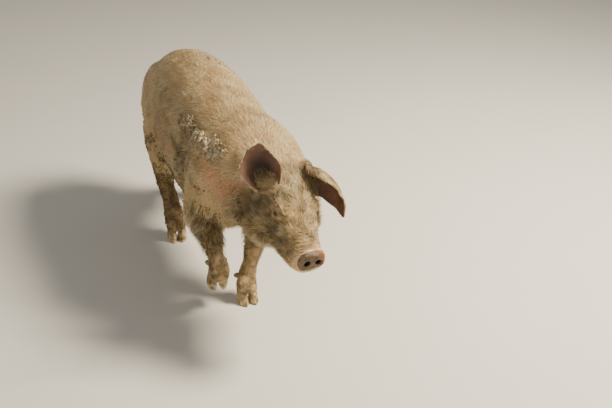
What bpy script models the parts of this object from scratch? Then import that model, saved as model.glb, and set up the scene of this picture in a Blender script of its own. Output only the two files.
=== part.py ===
"""A young domestic pig, walking with its head low: a still, life-size museum model.

Metres. +X points towards the head, +Y to the animal's left, +Z up, and the feet stand on Z = 0.
The flesh is lofted from named stations, fused into one smooth body, and then parted by thin cuts
into torso, neck, head, lower jaw and legs. Ears, eyes, snout disc, tail and claws are pieces of their own.
"""

import math
import random

import bmesh
import bpy
import numpy as np
from mathutils import Matrix, Vector

# Driving dimensions of the animal.
WITHERS_HEIGHT = 0.56
TRUNK_LENGTH = 0.79
TRUNK_WIDTH = 0.295
BUTTOCK_X = -0.46
HEAD_LENGTH = 0.255
FACE_WIDTH = 0.158
CHEEK_WIDTH = 0.204
EAR_LENGTH = 0.135
EAR_WIDTH = 0.112
EAR_TIP_ROLL = math.radians(28)
EAR_BROADEST_SHARE = 0.42
EAR_THICKNESS = 0.0045
EAR_ROOT_DEPTH = 0.016
EYE_RADIUS = 0.0115
EYE_SINK = 0.0075
EYE_SHARE = 0.47
EYE_HEIGHT = 0.018
LID_THICKNESS = 0.0030
SNOUT_DISC_WIDTH = 0.070
SNOUT_DISC_HEIGHT = 0.058
SNOUT_DISC_DEPTH = 0.015
NOSTRIL_RADIUS = 0.0075
NOSTRIL_SPACING = 0.030
LIP_OPENING = 0.0025
JAW_REACH = 0.200
HOOF_LENGTH = 0.050
HOOF_WIDTH = 0.031
CORONET_HEIGHT = 0.042
PASTERN_SLOPE = math.radians(23)
DEWCLAW_LENGTH = 0.028
TAIL_RADIUS = 0.0100
TAIL_HEIGHT = 0.478
TAIL_CURL_RADIUS = 0.026
TAIL_CURL_TURNS = 1.15
TAIL_CURL_WIDTH = 0.030
TAIL_TIP_LENGTH = 0.054

# Locks of the longer hair on the jowls.
LOCK_LENGTH = 0.034
LOCK_WIDTH = 0.013
LOCK_THICKNESS = 0.0050
LOCK_LIFT = 0.38
LOCK_BEND = 0.16
LOCK_STRAY = 0.16
JOWL_ROWS = 3
JOWL_COLUMNS = 4
JOWL_START_SHARE = 0.13
JOWL_SPAN_SHARE = 0.24
JOWL_TOP_ROW = -0.062
JOWL_ROW_STEP = 0.026
JOWL_LIE = Vector((-0.80, 0.0, -0.60))

# The pose: the neck bends to the left, the head hangs in line with it, the right foreleg swings.
POLL = Vector((0.388, 0.042, 0.470))
HEAD_PITCH = math.radians(34)
HEAD_YAW = math.radians(2)
SNOUT_TILT = math.radians(20)
SWINGING_FOOT_PITCH = math.radians(42)

# How the model is made.
GAP = 0.0003
TINY = 0.00002
VOXEL = 0.006
SMOOTHING_STEPS = 9
BODY_SIDES = 28
TRUNK_DETAIL = 0.028
LEG_DETAIL = 0.030
HEAD_DETAIL = 0.085
LEG_ZONE_MARGIN = 0.022
BELLY_HEIGHT = 0.235
TORSO_CORE_HALF_WIDTH = 0.055
NECK_CUT_POINT = Vector((0.290, 0.0, 0.40))
NECK_CUT_NORMAL = Vector((0.97, 0.12, -0.10)).normalized()
HEAD_CUT_SHARE = -0.02
SNOUT_CUT_SHARE = 0.955
SNOUT_MIDDLE = -0.0135
THROAT_DEPTH = 0.170
HEAD_ZONE_REACH = 0.30

# Finishes: name, colour (linear red, green, blue), roughness.
FINISHES = {
    "coat": ((0.60, 0.45, 0.30), 0.75),
    "muddy_coat": ((0.32, 0.24, 0.15), 0.85),
    "bare_skin": ((0.55, 0.27, 0.19), 0.55),
    "horn": ((0.42, 0.31, 0.19), 0.45),
    "eye": ((0.03, 0.018, 0.012), 0.08),
}


def clear_scene():
    """Removes whatever the file held before."""
    for obj in list(bpy.data.objects):
        bpy.data.objects.remove(obj)


def make_finishes():
    """One material for each finish."""
    made = {}
    for name, (colour, roughness) in FINISHES.items():
        material = bpy.data.materials.new(name)
        material.use_nodes = True
        shader = material.node_tree.nodes["Principled BSDF"]
        shader.inputs["Base Color"].default_value = (*colour, 1.0)
        shader.inputs["Roughness"].default_value = roughness
        shader.inputs["Metallic"].default_value = 0.0
        made[name] = material
    return made


def add_object(name, mesh):
    """A new object that holds this mesh."""
    obj = bpy.data.objects.new(name, mesh)
    bpy.context.scene.collection.objects.link(obj)
    return obj


def object_from_points(name, points, faces):
    """A mesh object from points and faces, with its faces turned outwards."""
    mesh = bpy.data.meshes.new(name)
    mesh.from_pydata([tuple(p) for p in points], [], faces)
    shape = bmesh.new()
    shape.from_mesh(mesh)
    bmesh.ops.recalc_face_normals(shape, faces=shape.faces)
    shape.to_mesh(mesh)
    shape.free()
    return add_object(name, mesh)


def copy_of(obj, name):
    """A second object with a mesh of its own."""
    return add_object(name, obj.data.copy())


def apply_modifiers(obj):
    """Turns the object's evaluated shape into its mesh."""
    bpy.context.view_layer.update()
    graph = bpy.context.evaluated_depsgraph_get()
    mesh = bpy.data.meshes.new_from_object(obj.evaluated_get(graph))
    obj.modifiers.clear()
    obj.data = mesh


def remove(objects):
    """Takes helper objects out of the scene."""
    for obj in objects:
        bpy.data.objects.remove(obj)


def keep_largest(obj):
    """Keeps the object's largest closed surface, in clean triangles, without scraps or sealed hollows."""
    shape = bmesh.new()
    shape.from_mesh(obj.data)
    shape.faces.ensure_lookup_table()
    unseen = set(shape.faces)
    islands = []
    while unseen:
        island = {unseen.pop()}
        edge_of_island = list(island)
        while edge_of_island:
            face = edge_of_island.pop()
            for edge in face.edges:
                for near in edge.link_faces:
                    if near in unseen:
                        unseen.discard(near)
                        island.add(near)
                        edge_of_island.append(near)
        islands.append(island)
    largest = max(islands, key=lambda island: sum(face.calc_area() for face in island))
    dropped = [face for face in shape.faces if face not in largest]
    bmesh.ops.delete(shape, geom=dropped, context="FACES")
    bmesh.ops.dissolve_degenerate(shape, edges=shape.edges, dist=TINY)
    bmesh.ops.triangulate(shape, faces=shape.faces)
    bmesh.ops.dissolve_degenerate(shape, edges=shape.edges, dist=TINY)
    shape.to_mesh(obj.data)
    shape.free()


def combine(obj, others, operation, solver="EXACT"):
    """One Boolean of the object with a collection of closed helpers, which are then removed."""
    helpers = bpy.data.collections.new("helpers")
    for other in others:
        helpers.objects.link(other)
    modifier = obj.modifiers.new("combine", "BOOLEAN")
    modifier.operation = operation
    modifier.solver = solver
    modifier.operand_type = "COLLECTION"
    modifier.collection = helpers
    apply_modifiers(obj)
    remove(others)
    bpy.data.collections.remove(helpers)
    keep_largest(obj)


def grown(obj, distance):
    """A helper copy whose surface is moved outwards by a distance."""
    helper = copy_of(obj, obj.name + "_grown")
    shape = bmesh.new()
    shape.from_mesh(helper.data)
    shape.normal_update()
    for vertex in shape.verts:
        vertex.co += vertex.normal * distance
    shape.to_mesh(helper.data)
    shape.free()
    return helper


def smooth_rows(stations, count):
    """Rows read at even spacing from a smooth curve through the stations."""
    rows = np.array(stations, float)
    steps = np.linalg.norm(np.diff(rows[:, :3], axis=0), axis=1)
    knots = np.concatenate([[0.0], np.cumsum(steps)])
    slopes = np.gradient(rows, knots, axis=0)
    at = np.linspace(0.0, knots[-1], count)
    span = np.clip(np.searchsorted(knots, at, side="right") - 1, 0, len(steps) - 1)
    width = steps[span][:, None]
    t = ((at - knots[span]) / steps[span])[:, None]
    return (
        (2 * t**3 - 3 * t**2 + 1) * rows[span]
        + (t**3 - 2 * t**2 + t) * width * slopes[span]
        + (3 * t**2 - 2 * t**3) * rows[span + 1]
        + (t**3 - t**2) * width * slopes[span + 1]
    )


def signed_power(value, power):
    """A power that keeps the sign, for rounded-square sections."""
    return math.copysign(abs(value) ** power, value)


def loft(name, stations, rings, across=Vector((0, 1, 0)), squareness=2.2, sides=BODY_SIDES, frame=None):
    """A closed body through stations of (x, y, z, half width, rise, drop).

    Rise is the reach above the station's point, on a leg the reach forwards, and drop the reach below.
    """
    rows = smooth_rows(stations, rings)
    centres = [Vector(row[:3]) for row in rows]
    points = []
    for index, row in enumerate(rows):
        before = centres[max(index - 1, 0)]
        after = centres[min(index + 1, rings - 1)]
        along = (after - before).normalized()
        side = (across - along * across.dot(along)).normalized()
        up = along.cross(side)
        for step in range(sides):
            angle = 2 * math.pi * step / sides
            wide = signed_power(math.cos(angle), 2 / squareness) * max(row[3], 0.002)
            tall = signed_power(math.sin(angle), 2 / squareness)
            tall *= max(row[4] if tall > 0 else row[5], 0.002)
            points.append(centres[index] + side * wide + up * tall)
    faces = [list(range(sides))[::-1], [(rings - 1) * sides + step for step in range(sides)]]
    for index in range(rings - 1):
        for step in range(sides):
            here = index * sides
            after = (step + 1) % sides
            faces.append([here + step, here + after, here + sides + after, here + sides + step])
    if frame is not None:
        points = [frame @ point for point in points]
    return object_from_points(name, points, faces)


def ellipsoid(name, centre, radii, frame=None, segments=20):
    """A smooth lump, for a muscle or a fold."""
    mesh = bpy.data.meshes.new(name)
    shape = bmesh.new()
    bmesh.ops.create_uvsphere(shape, u_segments=segments, v_segments=segments // 2, radius=1.0)
    bmesh.ops.transform(shape, matrix=Matrix.Diagonal((*radii, 1.0)), verts=shape.verts)
    bmesh.ops.translate(shape, vec=centre, verts=shape.verts)
    if frame is not None:
        bmesh.ops.transform(shape, matrix=frame, verts=shape.verts)
    shape.to_mesh(mesh)
    shape.free()
    return add_object(name, mesh)


def half_space(name, point, normal, size=3.0):
    """A large block whose one face passes through the point and whose body lies along the normal."""
    mesh = bpy.data.meshes.new(name)
    shape = bmesh.new()
    bmesh.ops.create_cube(shape, size=size)
    bmesh.ops.translate(shape, vec=(0, 0, size / 2), verts=shape.verts)
    turn = normal.to_track_quat("Z", "Y").to_matrix().to_4x4()
    bmesh.ops.transform(shape, matrix=Matrix.Translation(point) @ turn, verts=shape.verts)
    shape.to_mesh(mesh)
    shape.free()
    return add_object(name, mesh)


def block(name, low, high, frame):
    """A box between two corners of a frame."""
    mesh = bpy.data.meshes.new(name)
    shape = bmesh.new()
    bmesh.ops.create_cube(shape, size=1.0)
    bmesh.ops.transform(shape, matrix=Matrix.Diagonal((*(high - low), 1.0)), verts=shape.verts)
    bmesh.ops.translate(shape, vec=(low + high) / 2, verts=shape.verts)
    bmesh.ops.transform(shape, matrix=frame, verts=shape.verts)
    shape.to_mesh(mesh)
    shape.free()
    return add_object(name, mesh)


def head_frame():
    """The head's own frame: +X from poll to snout, +Y to the left, +Z out of the forehead."""
    return (
        Matrix.Translation(POLL)
        @ Matrix.Rotation(HEAD_YAW, 4, "Z")
        @ Matrix.Rotation(HEAD_PITCH, 4, "Y")
    )


def trunk_form():
    """The barrel of the body from buttock to chest: share of length, back, belly, half width."""
    outline = (
        (0.00, 0.82, 0.64, 0.28),
        (0.05, 0.93, 0.52, 0.58),
        (0.14, 1.01, 0.46, 0.81),
        (0.28, 1.07, 0.44, 0.93),
        (0.45, 1.09, 0.405, 0.98),
        (0.62, 1.06, 0.385, 1.00),
        (0.78, 1.03, 0.40, 0.94),
        (0.90, 0.98, 0.45, 0.82),
        (1.00, 0.86, 0.56, 0.54),
    )
    stations = []
    for share, back, belly, width in outline:
        middle = (back * 0.45 + belly * 0.55) * WITHERS_HEIGHT
        stations.append(
            (
                BUTTOCK_X + share * TRUNK_LENGTH,
                0.0,
                middle,
                width * TRUNK_WIDTH / 2,
                back * WITHERS_HEIGHT - middle,
                middle - belly * WITHERS_HEIGHT,
            )
        )
    return loft("trunk", stations, 28, squareness=2.2)


def neck_form():
    """The thick neck, from inside the shoulders to the back of the head."""
    nape = head_frame() @ Vector((0.0, 0.0, -0.034))
    return loft(
        "neck_form",
        (
            (0.10, 0.002, 0.41, 0.120, 0.150, 0.140),
            (0.22, 0.012, 0.425, 0.126, 0.146, 0.140),
            (0.31, 0.034, 0.434, 0.120, 0.124, 0.132),
            (nape.x - 0.01, nape.y, nape.z, 0.098, 0.088, 0.106),
            (nape.x + 0.06, nape.y, nape.z - 0.02, 0.078, 0.064, 0.080),
        ),
        16,
    )


def head_forms():
    """The skull and muzzle as one loft, with lumps for cheeks, brows, ear roots and lips."""
    # Share of head length, forehead line, jaw line, half width as a share of the face's.
    outline = (
        (-0.12, 0.022, -0.090, 0.80),
        (0.00, 0.044, -0.110, 0.92),
        (0.15, 0.054, -0.125, 0.94),
        (0.30, 0.053, -0.134, 0.90),
        (0.45, 0.044, -0.134, 0.81),
        (0.58, 0.032, -0.125, 0.72),
        (0.72, 0.023, -0.109, 0.62),
        (0.85, 0.018, -0.088, 0.54),
        (0.94, 0.018, -0.064, 0.48),
        (1.04, 0.018, -0.046, 0.46),
    )
    stations = []
    for share, top, bottom, width in outline:
        middle = (top + bottom) / 2
        half = width * FACE_WIDTH / 2
        stations.append((share * HEAD_LENGTH, 0.0, middle, half, top - middle, middle - bottom))
    # Share of head length, reach to the side, height, and the lump's three radii.
    cheek_radius = 0.046
    lumps = {
        "cheek": ((0.26, CHEEK_WIDTH / 2 - cheek_radius, -0.082), (0.084, cheek_radius, 0.066)),
        "brow": ((0.43, 0.041, 0.027), (0.030, 0.017, 0.014)),
        "ear_root": ((0.10, 0.055, 0.031), (0.037, 0.026, 0.027)),
        "upper_lip": ((0.76, 0.031, -0.030), (0.044, 0.013, 0.018)),
    }
    frame = head_frame()
    forms = [loft("skull", stations, 26, squareness=2.35, frame=frame)]
    for name, ((share, out, height), radii) in lumps.items():
        for side in (-1, 1):
            forms.append(ellipsoid(name, (share * HEAD_LENGTH, side * out, height), radii, frame))
    return forms


# Leg stations: half width, reach forwards, reach back, from the top of the limb down to the pastern.
FORE_SIZES = (
    (0.050, 0.085, 0.090),
    (0.052, 0.072, 0.080),
    (0.047, 0.052, 0.062),
    (0.038, 0.040, 0.042),
    (0.029, 0.029, 0.028),
    (0.023, 0.022, 0.022),
    (0.028, 0.025, 0.028),
    (0.032, 0.025, 0.027),
    (0.026, 0.020, 0.022),
)
HIND_SIZES = (
    (0.060, 0.110, 0.110),
    (0.066, 0.105, 0.105),
    (0.060, 0.078, 0.080),
    (0.043, 0.048, 0.052),
    (0.030, 0.032, 0.036),
    (0.025, 0.025, 0.026),
    (0.031, 0.027, 0.030),
    (0.033, 0.026, 0.028),
    (0.026, 0.020, 0.022),
)

# Joints in the pose, top to bottom: shoulder or hip, elbow or stifle, knee or hock, fetlock, coronet.
LEGS = {
    "fore_left": {
        "sizes": FORE_SIZES,
        "joints": (
            (0.215, 0.078, 0.400),
            (0.180, 0.078, 0.280),
            (0.232, 0.034, 0.155),
            (0.238, 0.012, 0.075),
            (0.254, 0.008, CORONET_HEIGHT),
        ),
        "foot_pitch": 0.0,
        "foot_yaw": math.radians(2),
    },
    "fore_right": {
        "sizes": FORE_SIZES,
        "joints": (
            (0.220, -0.080, 0.400),
            (0.178, -0.104, 0.285),
            (0.266, -0.098, 0.222),
            (0.268, -0.084, 0.146),
            (0.262, -0.080, 0.111),
        ),
        "foot_pitch": SWINGING_FOOT_PITCH,
        "foot_yaw": math.radians(-4),
    },
    "hind_left": {
        "sizes": HIND_SIZES,
        "joints": (
            (-0.300, 0.075, 0.420),
            (-0.255, 0.100, 0.310),
            (-0.395, 0.092, 0.200),
            (-0.392, 0.084, 0.077),
            (-0.378, 0.083, CORONET_HEIGHT),
        ),
        "foot_pitch": 0.0,
        "foot_yaw": math.radians(6),
    },
    "hind_right": {
        "sizes": HIND_SIZES,
        "joints": (
            (-0.300, -0.075, 0.420),
            (-0.200, -0.102, 0.310),
            (-0.245, -0.098, 0.185),
            (-0.175, -0.088, 0.077),
            (-0.158, -0.086, CORONET_HEIGHT),
        ),
        "foot_pitch": 0.0,
        "foot_yaw": math.radians(-6),
    },
}


def leg_stations(leg, margin=0.0):
    """The leg's joints and the middles of its bones, with their sizes, widened by a margin."""
    top, middle, low, fetlock, coronet = (Vector(joint) for joint in leg["joints"])
    slope = PASTERN_SLOPE - leg["foot_pitch"]
    toe = Vector((math.sin(slope), 0.0, -math.cos(slope)))
    centres = (
        top,
        top.lerp(middle, 0.5),
        middle,
        middle.lerp(low, 0.5),
        low,
        low.lerp(fetlock, 0.55),
        fetlock,
        coronet,
        coronet + toe * 0.016,
    )
    return [
        (*centre, *(size + margin for size in sizes))
        for centre, sizes in zip(centres, leg["sizes"])
    ]


def leg_form(name, leg, margin=0.0, sides=BODY_SIDES):
    """The limb from shoulder or hip to coronet."""
    return loft(name, leg_stations(leg, margin), 26, squareness=2.1, sides=sides)


def whole_body():
    """Every flesh form fused and smoothed into one closed body."""
    body = trunk_form()
    forms = [neck_form(), *head_forms()]
    forms += [leg_form(name, leg) for name, leg in LEGS.items()]
    for side in (-1, 1):
        forms.append(ellipsoid("ham", (-0.330, side * 0.064, 0.400), (0.120, 0.075, 0.145)))
        forms.append(ellipsoid("shoulder_muscle", (0.195, side * 0.072, 0.400), (0.105, 0.076, 0.130)))
    combine(body, forms, "UNION")
    remesh = body.modifiers.new("remesh", "REMESH")
    remesh.mode = "VOXEL"
    remesh.voxel_size = VOXEL
    smooth = body.modifiers.new("smooth", "SMOOTH")
    smooth.factor = 0.5
    smooth.iterations = SMOOTHING_STEPS
    apply_modifiers(body)
    keep_largest(body)
    return body


def simplified(body, name, share):
    """A copy of the body with a share of its faces left."""
    obj = copy_of(body, name)
    modifier = obj.modifiers.new("decimate", "DECIMATE")
    modifier.ratio = share
    modifier.use_collapse_triangulate = True
    apply_modifiers(obj)
    return obj


def leg_zone(name, margin):
    """The convex space round a leg that its piece takes from the body, with a rounded top."""
    leg = LEGS[name]
    side = math.copysign(1.0, leg["joints"][0][1])
    half, ahead, behind = (size + margin for size in leg["sizes"][0])
    limb = leg_form(name + "_limb", leg, margin, sides=16)
    crown = ellipsoid(name + "_crown", Vector(leg["joints"][0]), (ahead, half, ahead))
    points = [vertex.co.copy() for helper in (limb, crown) for vertex in helper.data.vertices]
    remove([limb, crown])
    shape = bmesh.new()
    for point in points:
        if point.z > BELLY_HEIGHT:
            point.y = side * max(side * point.y, TORSO_CORE_HALF_WIDTH - margin)
        shape.verts.new(point)
    hull = bmesh.ops.convex_hull(shape, input=shape.verts)
    inside = [item for item in hull["geom_interior"] if isinstance(item, bmesh.types.BMVert)]
    bmesh.ops.delete(shape, geom=inside, context="VERTS")
    bmesh.ops.recalc_face_normals(shape, faces=shape.faces)
    mesh = bpy.data.meshes.new(name + "_zone")
    shape.to_mesh(mesh)
    shape.free()
    return add_object(name + "_zone", mesh)


def foot_frame(leg, joint=4, pitch_share=1.0):
    """A frame at one of the leg's joints, the coronet unless given: +X to the toes, +Z up the pastern."""
    return (
        Matrix.Translation(Vector(leg["joints"][joint]))
        @ Matrix.Rotation(leg["foot_yaw"], 4, "Z")
        @ Matrix.Rotation(leg["foot_pitch"] * pitch_share, 4, "Y")
    )


def claw_form(name, leg, side):
    """One main claw: a flat sole with a pointed toe, a sloping front wall and a rounded top."""
    top = 0.008
    sole = -CORONET_HEIGHT
    levels = (
        (top, 0.55, 0.45, -0.010),
        (top - 0.006, 0.86, 0.72, -0.006),
        (sole * 0.45, 0.98, 0.88, 0.004),
        (sole + 0.004, 1.00, 1.00, 0.012),
        (sole, 0.94, 0.96, 0.012),
    )
    sides = 10
    points = []
    for height, wide, long, shift in levels:
        for step in range(sides):
            angle = 2 * math.pi * step / sides
            toe = 0.5 + 0.5 * math.cos(angle)
            x = shift + math.cos(angle) * long * HOOF_LENGTH / 2
            y = math.sin(angle) * wide * HOOF_WIDTH / 2 * (1 - 0.30 * toe**2)
            y += side * (0.0175 - 0.004 * toe**2)
            points.append(Vector((x, y, height)))
    faces = [list(range(sides)), [(len(levels) - 1) * sides + step for step in range(sides)][::-1]]
    for index in range(len(levels) - 1):
        for step in range(sides):
            here = index * sides
            after = (step + 1) % sides
            faces.append([here + step, here + sides + step, here + sides + after, here + after])
    frame = foot_frame(leg)
    return object_from_points(name, [frame @ point for point in points], faces)


def dewclaw_form(name, leg, side):
    """One small claw behind the fetlock, a blunt cone that points down and back."""
    frame = foot_frame(leg, joint=3, pitch_share=0.5)
    root = Vector((-0.006, side * 0.017, 0.001))
    tip = root + Vector((-0.022, side * 0.012, -0.012)).normalized() * DEWCLAW_LENGTH
    return loft(
        name,
        (
            (*root, 0.0075, 0.0085, 0.0085),
            (*root.lerp(tip, 0.55), 0.0075, 0.0085, 0.0085),
            (*root.lerp(tip, 0.9), 0.0052, 0.0058, 0.0058),
            (*tip, 0.0024, 0.0026, 0.0026),
        ),
        5,
        squareness=2.0,
        sides=8,
        frame=frame,
    )


def surface_hit(obj, origin, direction):
    """Where a ray first meets the object, and the surface's outward normal there."""
    hit, point, normal, _ = obj.ray_cast(origin, direction)
    if not hit:
        raise ValueError("the ray misses " + obj.name)
    return point, normal


def lock_form(root, way, out, length):
    """One flat, tapered lock of bristles that lifts off the skin and bends back to it at the tip."""
    flat = way.cross(out).normalized()
    # Share of the lock's length, and its size there.
    sections = ((-0.40, 0.70), (0.0, 1.0), (0.45, 0.85), (0.80, 0.48), (1.0, 0.10))
    points = []
    for share, size in sections:
        lift = LOCK_LIFT * share - LOCK_BEND * max(share, 0.0) ** 2
        centre = root + way * length * share + out * length * lift
        half, thick = LOCK_WIDTH / 2 * size, LOCK_THICKNESS / 2 * size
        points += [centre + flat * half, centre + out * thick, centre - flat * half, centre - out * thick]
    faces = [[3, 2, 1, 0], [len(points) - 4 + corner for corner in range(4)]]
    for ring in range(len(sections) - 1):
        for corner in range(4):
            here, after = ring * 4 + corner, ring * 4 + (corner + 1) % 4
            faces.append([here, after, after + 4])
            faces.append([here, after + 4, here + 4])
    return object_from_points("lock", points, faces)


def add_fringe(obj, rays, way, seed):
    """Fuses one lock to the object where each ray meets it, all lying one way along the skin."""
    chance = random.Random(seed)
    locks = []
    for origin, direction in rays:
        point, normal = surface_hit(obj, origin, direction)
        along = way + normal * (LOCK_LIFT - way.dot(normal))
        along += Vector([chance.uniform(-LOCK_STRAY, LOCK_STRAY) for _ in range(3)])
        length = LOCK_LENGTH * chance.uniform(0.8, 1.15)
        locks.append(lock_form(point, along.normalized(), normal, length))
    combine(obj, locks, "UNION", solver="MANIFOLD")


def build_legs(body):
    """The four legs, each parted from the body and fitted round its own claws."""
    for name, leg in LEGS.items():
        flesh = simplified(body, name + "_leg", LEG_DETAIL)
        combine(flesh, [leg_zone(name, LEG_ZONE_MARGIN)], "INTERSECT")
        claws = []
        for label, side in (("left", 1), ("right", -1)):
            claws.append(claw_form(f"{name}_claw_{label}", leg, side))
            claws.append(dewclaw_form(f"{name}_dewclaw_{label}", leg, side))
        for claw in claws:
            combine(flesh, [grown(claw, GAP)], "DIFFERENCE")


def head_zone(margin):
    """The block of space, in line with the head, that the head takes from the body."""
    low = Vector((HEAD_CUT_SHARE * HEAD_LENGTH - margin, -HEAD_ZONE_REACH, -THROAT_DEPTH - margin))
    high = Vector((2 * HEAD_LENGTH, HEAD_ZONE_REACH, HEAD_ZONE_REACH))
    return block("head_zone", low, high, head_frame())


def build_torso_neck_head(body):
    """Torso and neck at the trunk's detail and head at its own, parted by thin plane cuts."""
    torso = simplified(body, "torso", TRUNK_DETAIL)
    combine(torso, [leg_zone(name, LEG_ZONE_MARGIN + GAP) for name in LEGS], "DIFFERENCE")
    neck = copy_of(torso, "neck")
    half_gap = NECK_CUT_NORMAL * GAP / 2
    combine(torso, [half_space("behind", NECK_CUT_POINT - half_gap, -NECK_CUT_NORMAL)], "INTERSECT")
    combine(neck, [half_space("ahead", NECK_CUT_POINT + half_gap, NECK_CUT_NORMAL)], "INTERSECT")
    combine(neck, [head_zone(GAP)], "DIFFERENCE")
    head = simplified(body, "head", HEAD_DETAIL)
    combine(head, [head_zone(0.0)], "INTERSECT")
    combine(head, [half_space("ahead", NECK_CUT_POINT + half_gap, NECK_CUT_NORMAL)], "INTERSECT")
    combine(head, [leg_zone(name, LEG_ZONE_MARGIN + GAP) for name in ("fore_left", "fore_right")], "DIFFERENCE")
    return torso, head


def mouth_zone(opening, gap):
    """The space of the lower jaw in the head's frame: below the mouth line and ahead of its corner."""
    # Share of head length and height of the mouth line, from its corner to the front.
    line = ((0.47, -0.062), (0.57, -0.066), (0.69, -0.060), (0.81, -0.051), (0.93, -0.045), (1.20, -0.041))
    upper = [(share * HEAD_LENGTH, height + opening) for share, height in line]
    below = [(1.20 * HEAD_LENGTH, -JAW_REACH), (0.40 * HEAD_LENGTH - gap, -JAW_REACH)]
    outline = [(upper[0][0] - gap, upper[0][1]), *upper[1:], *below]
    count = len(outline)
    points = []
    for side in (-1, 1):
        points += [head_frame() @ Vector((u, side * HEAD_ZONE_REACH, v)) for u, v in outline]
    faces = [list(range(count)), list(range(count, 2 * count))[::-1]]
    for step in range(count):
        after = (step + 1) % count
        faces.append([step, after, count + after, count + step])
    return object_from_points("mouth_zone", points, faces)


def cut_muzzle(head):
    """Cuts the muzzle's end to the tilted plane that the snout disc sits on."""
    frame = snout_frame()
    back = -(frame.to_3x3() @ Vector((1.0, 0.0, 0.0)))
    combine(head, [half_space("muzzle", frame.translation + back * GAP, back)], "INTERSECT")


def build_lower_jaw(head):
    """Parts the lower jaw from the head along the mouth line, with the lips a little apart."""
    jaw = copy_of(head, "lower_jaw")
    combine(jaw, [mouth_zone(0.0, 0.0)], "INTERSECT")
    combine(head, [mouth_zone(LIP_OPENING, GAP)], "DIFFERENCE")


def snout_frame():
    """The disc's own frame, at the end of the muzzle and tilted a little upwards."""
    end = Vector((SNOUT_CUT_SHARE * HEAD_LENGTH, 0.0, SNOUT_MIDDLE))
    return head_frame() @ Matrix.Translation(end) @ Matrix.Rotation(-SNOUT_TILT, 4, "Y")


def build_snout_disc():
    """The rhinarium: an oval disc with a soft rim and two nostrils that lean outwards."""
    # Share of the disc's depth, and its size there.
    profile = ((0.0, 0.90), (0.28, 1.0), (0.70, 1.0), (1.0, 0.86))
    stations = []
    for share, size in profile:
        half_height = size * SNOUT_DISC_HEIGHT / 2
        stations.append((share * SNOUT_DISC_DEPTH, 0.0, 0.0, size * SNOUT_DISC_WIDTH / 2, half_height, half_height))
    frame = snout_frame()
    disc = loft("snout_disc", stations, 6, squareness=2.25, sides=20, frame=frame)
    nostrils = []
    for side in (-1, 1):
        centre = Vector((SNOUT_DISC_DEPTH, side * NOSTRIL_SPACING / 2, 0.002))
        radii = (SNOUT_DISC_DEPTH * 0.8, NOSTRIL_RADIUS * 0.85, NOSTRIL_RADIUS)
        nostrils.append(ellipsoid("nostril", centre, radii, frame, segments=12))
    combine(disc, nostrils, "DIFFERENCE")


def add_jowl_fringe(head):
    """The shaggy jowls: rows of locks on both sides that lie down and back."""
    frame = head_frame()
    turn = frame.to_3x3()
    for side in (-1, 1):
        rays = []
        for row in range(JOWL_ROWS):
            for column in range(JOWL_COLUMNS):
                share = JOWL_START_SHARE + JOWL_SPAN_SHARE * (column + 0.5 * (row % 2)) / JOWL_COLUMNS
                height = JOWL_TOP_ROW - JOWL_ROW_STEP * row
                start = Vector((share * HEAD_LENGTH, side * HEAD_ZONE_REACH, height))
                rays.append((frame @ start, turn @ Vector((0.0, -side, 0.0))))
        add_fringe(head, rays, turn @ JOWL_LIE, seed=5 + side)


def build_eyes(head):
    """Small deep eyes, each behind two lids that are part of the head."""
    frame = head_frame()
    turn = frame.to_3x3()
    for label, side in (("left", 1), ("right", -1)):
        looks = (turn @ Vector((0.32, side, 0.30))).normalized()
        start = frame @ Vector((EYE_SHARE * HEAD_LENGTH, side * HEAD_ZONE_REACH, EYE_HEIGHT))
        point, _ = surface_hit(head, start, -(turn @ Vector((0.0, side, 0.0))))
        centre = point - looks * EYE_SINK
        lid_line = (turn @ Vector((1.0, 0.0, -0.25))).normalized()
        lid_line = (lid_line - looks * lid_line.dot(looks)).normalized()
        eye_frame = Matrix.Translation(centre) @ Matrix(
            (lid_line, looks.cross(lid_line), looks)
        ).transposed().to_4x4()
        lid = EYE_RADIUS + LID_THICKNESS
        combine(head, [ellipsoid("lid", (0, 0, 0), (lid * 1.12, lid, lid), eye_frame, 14)], "UNION")
        opening = ellipsoid("opening", (0, 0, EYE_RADIUS), (0.0088, 0.0036, 0.012), eye_frame, 10)
        socket_radius = EYE_RADIUS + GAP
        socket = ellipsoid("socket", (0, 0, 0), (socket_radius,) * 3, eye_frame, 12)
        combine(head, [opening], "DIFFERENCE")
        combine(head, [socket], "DIFFERENCE")
        ellipsoid(f"eye_{label}", (0, 0, 0), (EYE_RADIUS,) * 3, eye_frame, 12)


# Ears in the pose: root on the head, the way the ear starts and ends, the way its cup faces, how
# soon it turns, length and breadth against the named ones, breadth and roll at the root, and how
# far its cup is drawn to one side at the tip.
EARS = {
    "ear_right": {
        "root": (0.028, -0.058, 0.044),
        "start": (-0.10, -0.50, 0.86),
        "end": (0.00, -0.05, 0.99),
        "faces": (0.80, -0.45, 0.15),
        "bend": 0.8,
        "length": 0.69,
        "breadth": 1.10,
        "root_breadth": 0.80,
        "root_roll": math.radians(120),
        "skew": -0.25,
    },
    "ear_left": {
        "root": (0.030, 0.064, 0.048),
        "start": (0.30, 0.94, 0.10),
        "end": (0.42, -0.12, -0.90),
        "faces": (0.20, -0.72, -0.25),
        "bend": 0.80,
        "length": 1.14,
        "breadth": 1.0,
        "root_breadth": 0.55,
        "root_roll": math.radians(135),
        "skew": 0.15,
    },
}


def ear_half_arc(ear, share):
    """Half of the ear's breadth along its curve: a narrow root, a broad middle, a pointed tip."""
    rise = math.sin(min(share / EAR_BROADEST_SHARE, 1.0) * math.pi / 2)
    swell = ear["root_breadth"] + (1 - ear["root_breadth"]) * rise
    taper = max(share - EAR_BROADEST_SHARE, 0.0) / (1 - EAR_BROADEST_SHARE)
    return EAR_WIDTH / 2 * ear["breadth"] * swell * max(1.0 - taper**1.3, 0.014) ** 0.80


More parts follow.
